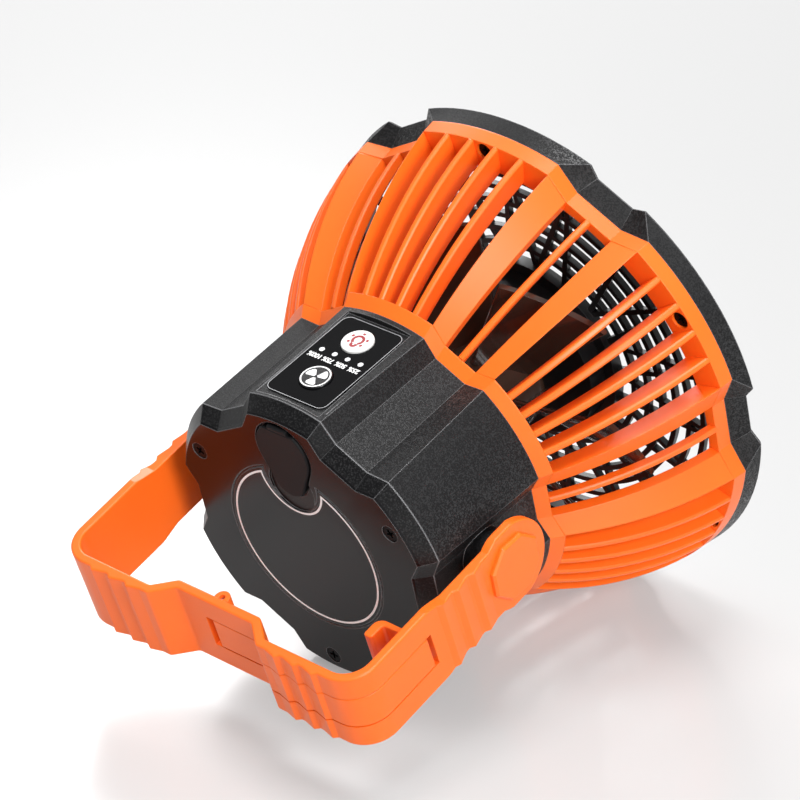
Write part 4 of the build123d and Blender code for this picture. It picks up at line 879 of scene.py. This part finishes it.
class FAN_OT_panel_print(bpy.types.Operator):
    """Print the line round the switch panel and the charge numbers."""

    bl_idname = "fan.panel_print"
    bl_label = "Print the panel"

    def execute(self, context):
        sizes = context.scene.fan_print
        grey = printed("print_grey", (0.34, 0.34, 0.35))
        white = printed("print_white", (0.82, 0.82, 0.82))
        face = panel_face(FILM_TOP)
        half = span("panel_overlay", RIGHT)[1]
        back, front = span("panel_overlay", FORWARD)
        inset = sizes.border_width
        corner = PANEL_CORNER - inset
        path = rounded_rectangle(half - inset, back + inset, front - inset, corner)
        points, faces = ribbon(face, path, sizes.border_width, -sizes.ink_low, sizes.ink_high)
        make_piece("panel_border", points, faces, grey, "fan_body")
        self.numbers(face, white, sizes)
        return {"FINISHED"}

    def numbers(self, face, material, sizes):
        """Set the four charge numbers in a row, one beside each light, read from the right."""
        low, high = span("charge_lights", RIGHT)
        back, front = span("charge_lights", FORWARD)
        radius = (front - back) / 2
        line = middle("charge_lights")[2] - NUMBER_DROP
        places = np.linspace(high - radius, low + radius, len(CHARGES))
        for number, place in zip(CHARGES, places):
            mesh = self.letters(f"{number}%", sizes)
            flat = np.empty(len(mesh.vertices) * 3, np.float32)
            mesh.vertices.foreach_get("co", flat)
            flat = flat.reshape(-1, 3).astype(float)
            turned = np.stack([place - flat[:, 0], line - flat[:, 1]], 1)
            points = face.at(turned, flat[:, 2]).astype(np.float32)
            mesh.vertices.foreach_set("co", points.ravel())
            mesh.name = f"charge_number_{number}"
            piece = bpy.data.objects.new(mesh.name, mesh)
            bpy.context.scene.collection.objects.link(piece)
            face_outwards(piece)
            dress_piece(piece, material, "fan_body")

    def letters(self, words, sizes):
        """Return a mesh of flat letters with a thickness, centred on the origin."""
        text = bpy.data.curves.new("charge_text", "FONT")
        text.body = words
        text.size = sizes.number_height
        text.align_x = "CENTER"
        text.align_y = "CENTER"
        text.space_character = LETTER_SPACING
        text.offset = LETTER_WEIGHT
        text.extrude = sizes.ink_high
        text.resolution_u = LETTER_STEPS
        holder = bpy.data.objects.new("text_holder", text)
        graph = bpy.context.evaluated_depsgraph_get()
        bpy.context.scene.collection.objects.link(holder)
        bpy.context.view_layer.update()
        mesh = bpy.data.meshes.new_from_object(holder.evaluated_get(graph))
        bpy.data.objects.remove(holder)
        return mesh


class FAN_OT_button_icons(bpy.types.Operator):
    """Print a red bulb on the light button, and a white ring and three blades on the fan button."""

    bl_idname = "fan.button_icons"
    bl_label = "Print the buttons"

    def execute(self, context):
        sizes = context.scene.fan_print
        low, high = -sizes.ink_low, sizes.ink_high
        face = panel_face(BUTTON_TOP)
        red = printed("print_red", (0.3, 0.002, 0.008))
        white = printed("button_white", (0.82, 0.82, 0.82))
        x, _, y = middle("light_button")
        bulb = np.array([x, y + BULB_RISE])
        neck = bulb - [0, NECK_DROP]
        lines = [arc(bulb, BULB_RADIUS, *BULB_ARC), arc(neck, NECK_RADIUS, *NECK_ARC)]
        for angle in RAY_ANGLES:
            way = np.array([math.cos(math.radians(angle)), math.sin(math.radians(angle))])
            lines.append(np.stack([bulb + way * RAY_FROM, bulb + way * RAY_TO]))
        parts = [ribbon(face, line, ICON_LINE, low, high, closed=False) for line in lines]
        points, faces = joined(parts)
        make_piece("light_icon", points, faces, red, "light_button")
        x, _, y = middle("fan_button")
        centre = np.array([x, y])
        parts = [ribbon(face, circle(centre, RING_RADIUS, RING_STEPS), RING_LINE, low, high)]
        parts += [pad(face, self.blade(centre, turn), low, high) for turn in BLADE_HEADINGS]
        points, faces = joined(parts)
        make_piece("fan_icon", points, faces, white, "fan_button")
        return {"FINISHED"}

    def blade(self, centre, heading):
        """Return a blade's outline: it widens evenly on its way out and ends in half an ellipse.

        At share t of its length its half width is (half + growth t) sqrt(1 - e^2), where e rises
        from 0 to 1 over the rounded end, and its middle is off to the side by swirl t^2.
        """
        way = np.linspace(0, 1, BLADE_STEPS)
        reach = BLADE_ROOT + way * BLADE_LENGTH
        end = np.clip((way - BLADE_ROUND_FROM) / (1 - BLADE_ROUND_FROM), 0, 1)
        half = (BLADE_HALF + way * BLADE_GROWTH) * np.sqrt(1 - end**2)
        side = BLADE_SWIRL * way**2
        out = np.stack([reach, side + half], 1)
        back = np.stack([reach, side - half], 1)[::-1]
        outline = np.concatenate([out, back[1:-1]])
        turn = math.radians(heading)
        spin = np.array([[math.cos(turn), math.sin(turn)], [-math.sin(turn), math.cos(turn)]])
        return centre + outline @ spin


class FAN_OT_label_ring(bpy.types.Operator):
    """Print the ring on the back cover, stepped round the plug."""

    bl_idname = "fan.label_ring"
    bl_label = "Print the label ring"

    def execute(self, context):
        sizes = context.scene.fan_print
        ring, bite, rise = sizes.label_radius, sizes.bite_radius, sizes.bite_height
        # Where the ring meets the bite: the cosine rule in the triangle of the two centres
        meet = math.asin((ring**2 + rise**2 - bite**2) / (2 * ring * rise))
        edge_x, edge_y = ring * math.cos(meet), ring * math.sin(meet)
        meet = math.degrees(meet)
        bite_angle = math.degrees(math.atan2(edge_y - rise, edge_x))
        long_arc = arc((0, 0), ring, 180 - meet, 360 + meet, LABEL_STEPS)
        step = arc((0, rise), bite, bite_angle, -180 - bite_angle, BITE_STEPS)
        path = np.concatenate([long_arc, step[1:-1]])
        white = printed("label_white", (0.98, 0.98, 0.98))
        low, high = -sizes.ink_low, sizes.ink_high
        points, faces = ribbon(cover_face(), path, sizes.label_width, low, high)
        make_piece("label_ring", points, faces, white, "fan_body")
        return {"FINISHED"}


class FAN_OT_plug_tab(bpy.types.Operator):
    """Mould the small tab that a fingernail catches, near the free end of the plug."""

    bl_idname = "fan.plug_tab"
    bl_label = "Add the plug's tab"

    def execute(self, context):
        sizes = context.scene.fan_print
        half = sizes.tab_width / 2
        _, free_end = span("port_plug", -INWARD)
        proud = -span("port_plug", FORWARD)[0]
        # Known fault: heights on the cover's face count forwards, so the tab is sunk in the plug
        # and the cover, where it doesn't show
        place = np.array([0, free_end - TAB_INSET * sizes.tab_width])
        outline = circle((0, 0), half, TAB_STEPS) * (1, TAB_STRETCH) + place
        points, faces = dome(cover_face(), outline, proud - TAB_FOOT, proud + sizes.tab_height)
        rubber = NODES["port_plug"].data.materials[0]
        make_piece("plug_tab", points, faces, rubber, "port_plug")
        return {"FINISHED"}


class FAN_OT_stage(bpy.types.Operator):
    """Lay the floor, hang the lights and place the camera."""

    bl_idname = "fan.stage"
    bl_label = "Set the stage"

    def execute(self, context):
        sizes = context.scene.fan_stage
        self.floor(sizes)
        self.lights(sizes)
        camera = bpy.data.cameras.new("camera")
        camera.lens = sizes.lens
        camera.sensor_width = SENSOR
        camera.clip_start = CLIP_START
        camera.clip_end = CLIP_END
        holder = bpy.data.objects.new("camera", camera)
        holder.location = sizes.camera_place
        holder.rotation_euler = sizes.camera_turn
        context.scene.collection.objects.link(holder)
        context.scene.camera = holder
        context.scene.view_settings.view_transform = "Standard"
        return {"FINISHED"}

    def floor(self, sizes):
        """A flat square grid: the height is zero at every point."""
        side = np.linspace(-sizes.floor_size / 2, sizes.floor_size / 2, FLOOR_STEPS)
        x, y = [grid.ravel() for grid in np.meshgrid(side, side)]
        mesh = bpy.data.meshes.new("floor")
        points = np.stack([x, y, np.zeros_like(x)], 1)
        faces = grid_faces(len(side), len(side), False, False)
        mesh.from_pydata([tuple(p) for p in points], [], [tuple(map(int, f)) for f in faces])
        shader = Shader(
            "pale_floor", Specular_IOR_Level=0.35,
            Emission_Color=(1, 1, 1, 1), Emission_Strength=sizes.floor_glow,
        )
        cloud = shader.noise(FLOOR_CLOUDS, SOFT)
        colour = tuple(sizes.floor_colour)
        tint = shader.mix(cloud, rgba(shade(colour, 0.995)), rgba(colour))
        mesh.materials.append(shader.finish(Base_Color=tint, Roughness=cloud * 0.04 + 0.22))
        floor = bpy.data.objects.new("floor", mesh)
        bpy.context.scene.collection.objects.link(floor)
        floor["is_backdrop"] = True

    def lights(self, sizes):
        """Three soft lights, and a sky that is bright straight above and round the horizon."""
        sky = Sky("studio")
        way = sky.node("ShaderNodeTexCoord", output="Generated")
        rise = sky.node("ShaderNodeSeparateXYZ", None, {"Vector": way}, "Z")
        low = (1 - rise) * (1 - rise)
        sky.finish(Strength=rise * rise * sizes.sky + low * low * sizes.horizon)
        for name, (place, size) in LIGHTS.items():
            light = bpy.data.lights.new(name, "AREA")
            light.shape = "DISK"
            light.size = size
            light.energy = getattr(sizes, f"{name}_power")
            lamp = bpy.data.objects.new(name, light)
            lamp.location = place
            lamp.rotation_euler = (AIM - Vector(place)).to_track_quat("-Z", "Y").to_euler()
            bpy.context.scene.collection.objects.link(lamp)


class FAN_PT_panel(bpy.types.Panel):
    """The fan's finishes, printing and stage."""

    bl_idname = "FAN_PT_panel"
    bl_label = "Camping Fan"
    bl_space_type = "VIEW_3D"
    bl_region_type = "UI"
    bl_category = "Camping Fan"

    def draw(self, context):
        for operator in OPERATORS:
            self.layout.operator(operator.bl_idname)
        for group in (context.scene.fan_finish, context.scene.fan_print, context.scene.fan_stage):
            for name in group.__annotations__:
                self.layout.prop(group, name)


SETTINGS = {"fan_finish": FinishSettings, "fan_print": PrintSettings, "fan_stage": StageSettings}
OPERATORS = (
    FAN_OT_mouldings,
    FAN_OT_small_parts,
    FAN_OT_panel_print,
    FAN_OT_button_icons,
    FAN_OT_label_ring,
    FAN_OT_plug_tab,
    FAN_OT_stage,
)


def register():
    for group in SETTINGS.values():
        bpy.utils.register_class(group)
    for name, group in SETTINGS.items():
        setattr(bpy.types.Scene, name, bpy.props.PointerProperty(type=group))
    for operator in OPERATORS:
        bpy.utils.register_class(operator)
    bpy.utils.register_class(FAN_PT_panel)


def unregister():
    bpy.utils.unregister_class(FAN_PT_panel)
    for operator in reversed(OPERATORS):
        bpy.utils.unregister_class(operator)
    for name in SETTINGS:
        delattr(bpy.types.Scene, name)
    for group in SETTINGS.values():
        bpy.utils.unregister_class(group)


def main():
    """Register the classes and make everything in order."""
    register()
    bpy.ops.fan.mouldings()
    bpy.ops.fan.small_parts()
    bpy.ops.fan.panel_print()
    bpy.ops.fan.button_icons()
    bpy.ops.fan.label_ring()
    bpy.ops.fan.plug_tab()
    bpy.ops.fan.stage()
    sizes = {"cad": CAD_BOX, "visual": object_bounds()}
    sizes = {name: [list(corner) for corner in box] for name, box in sizes.items()}


if __name__ == "__main__":
    main()
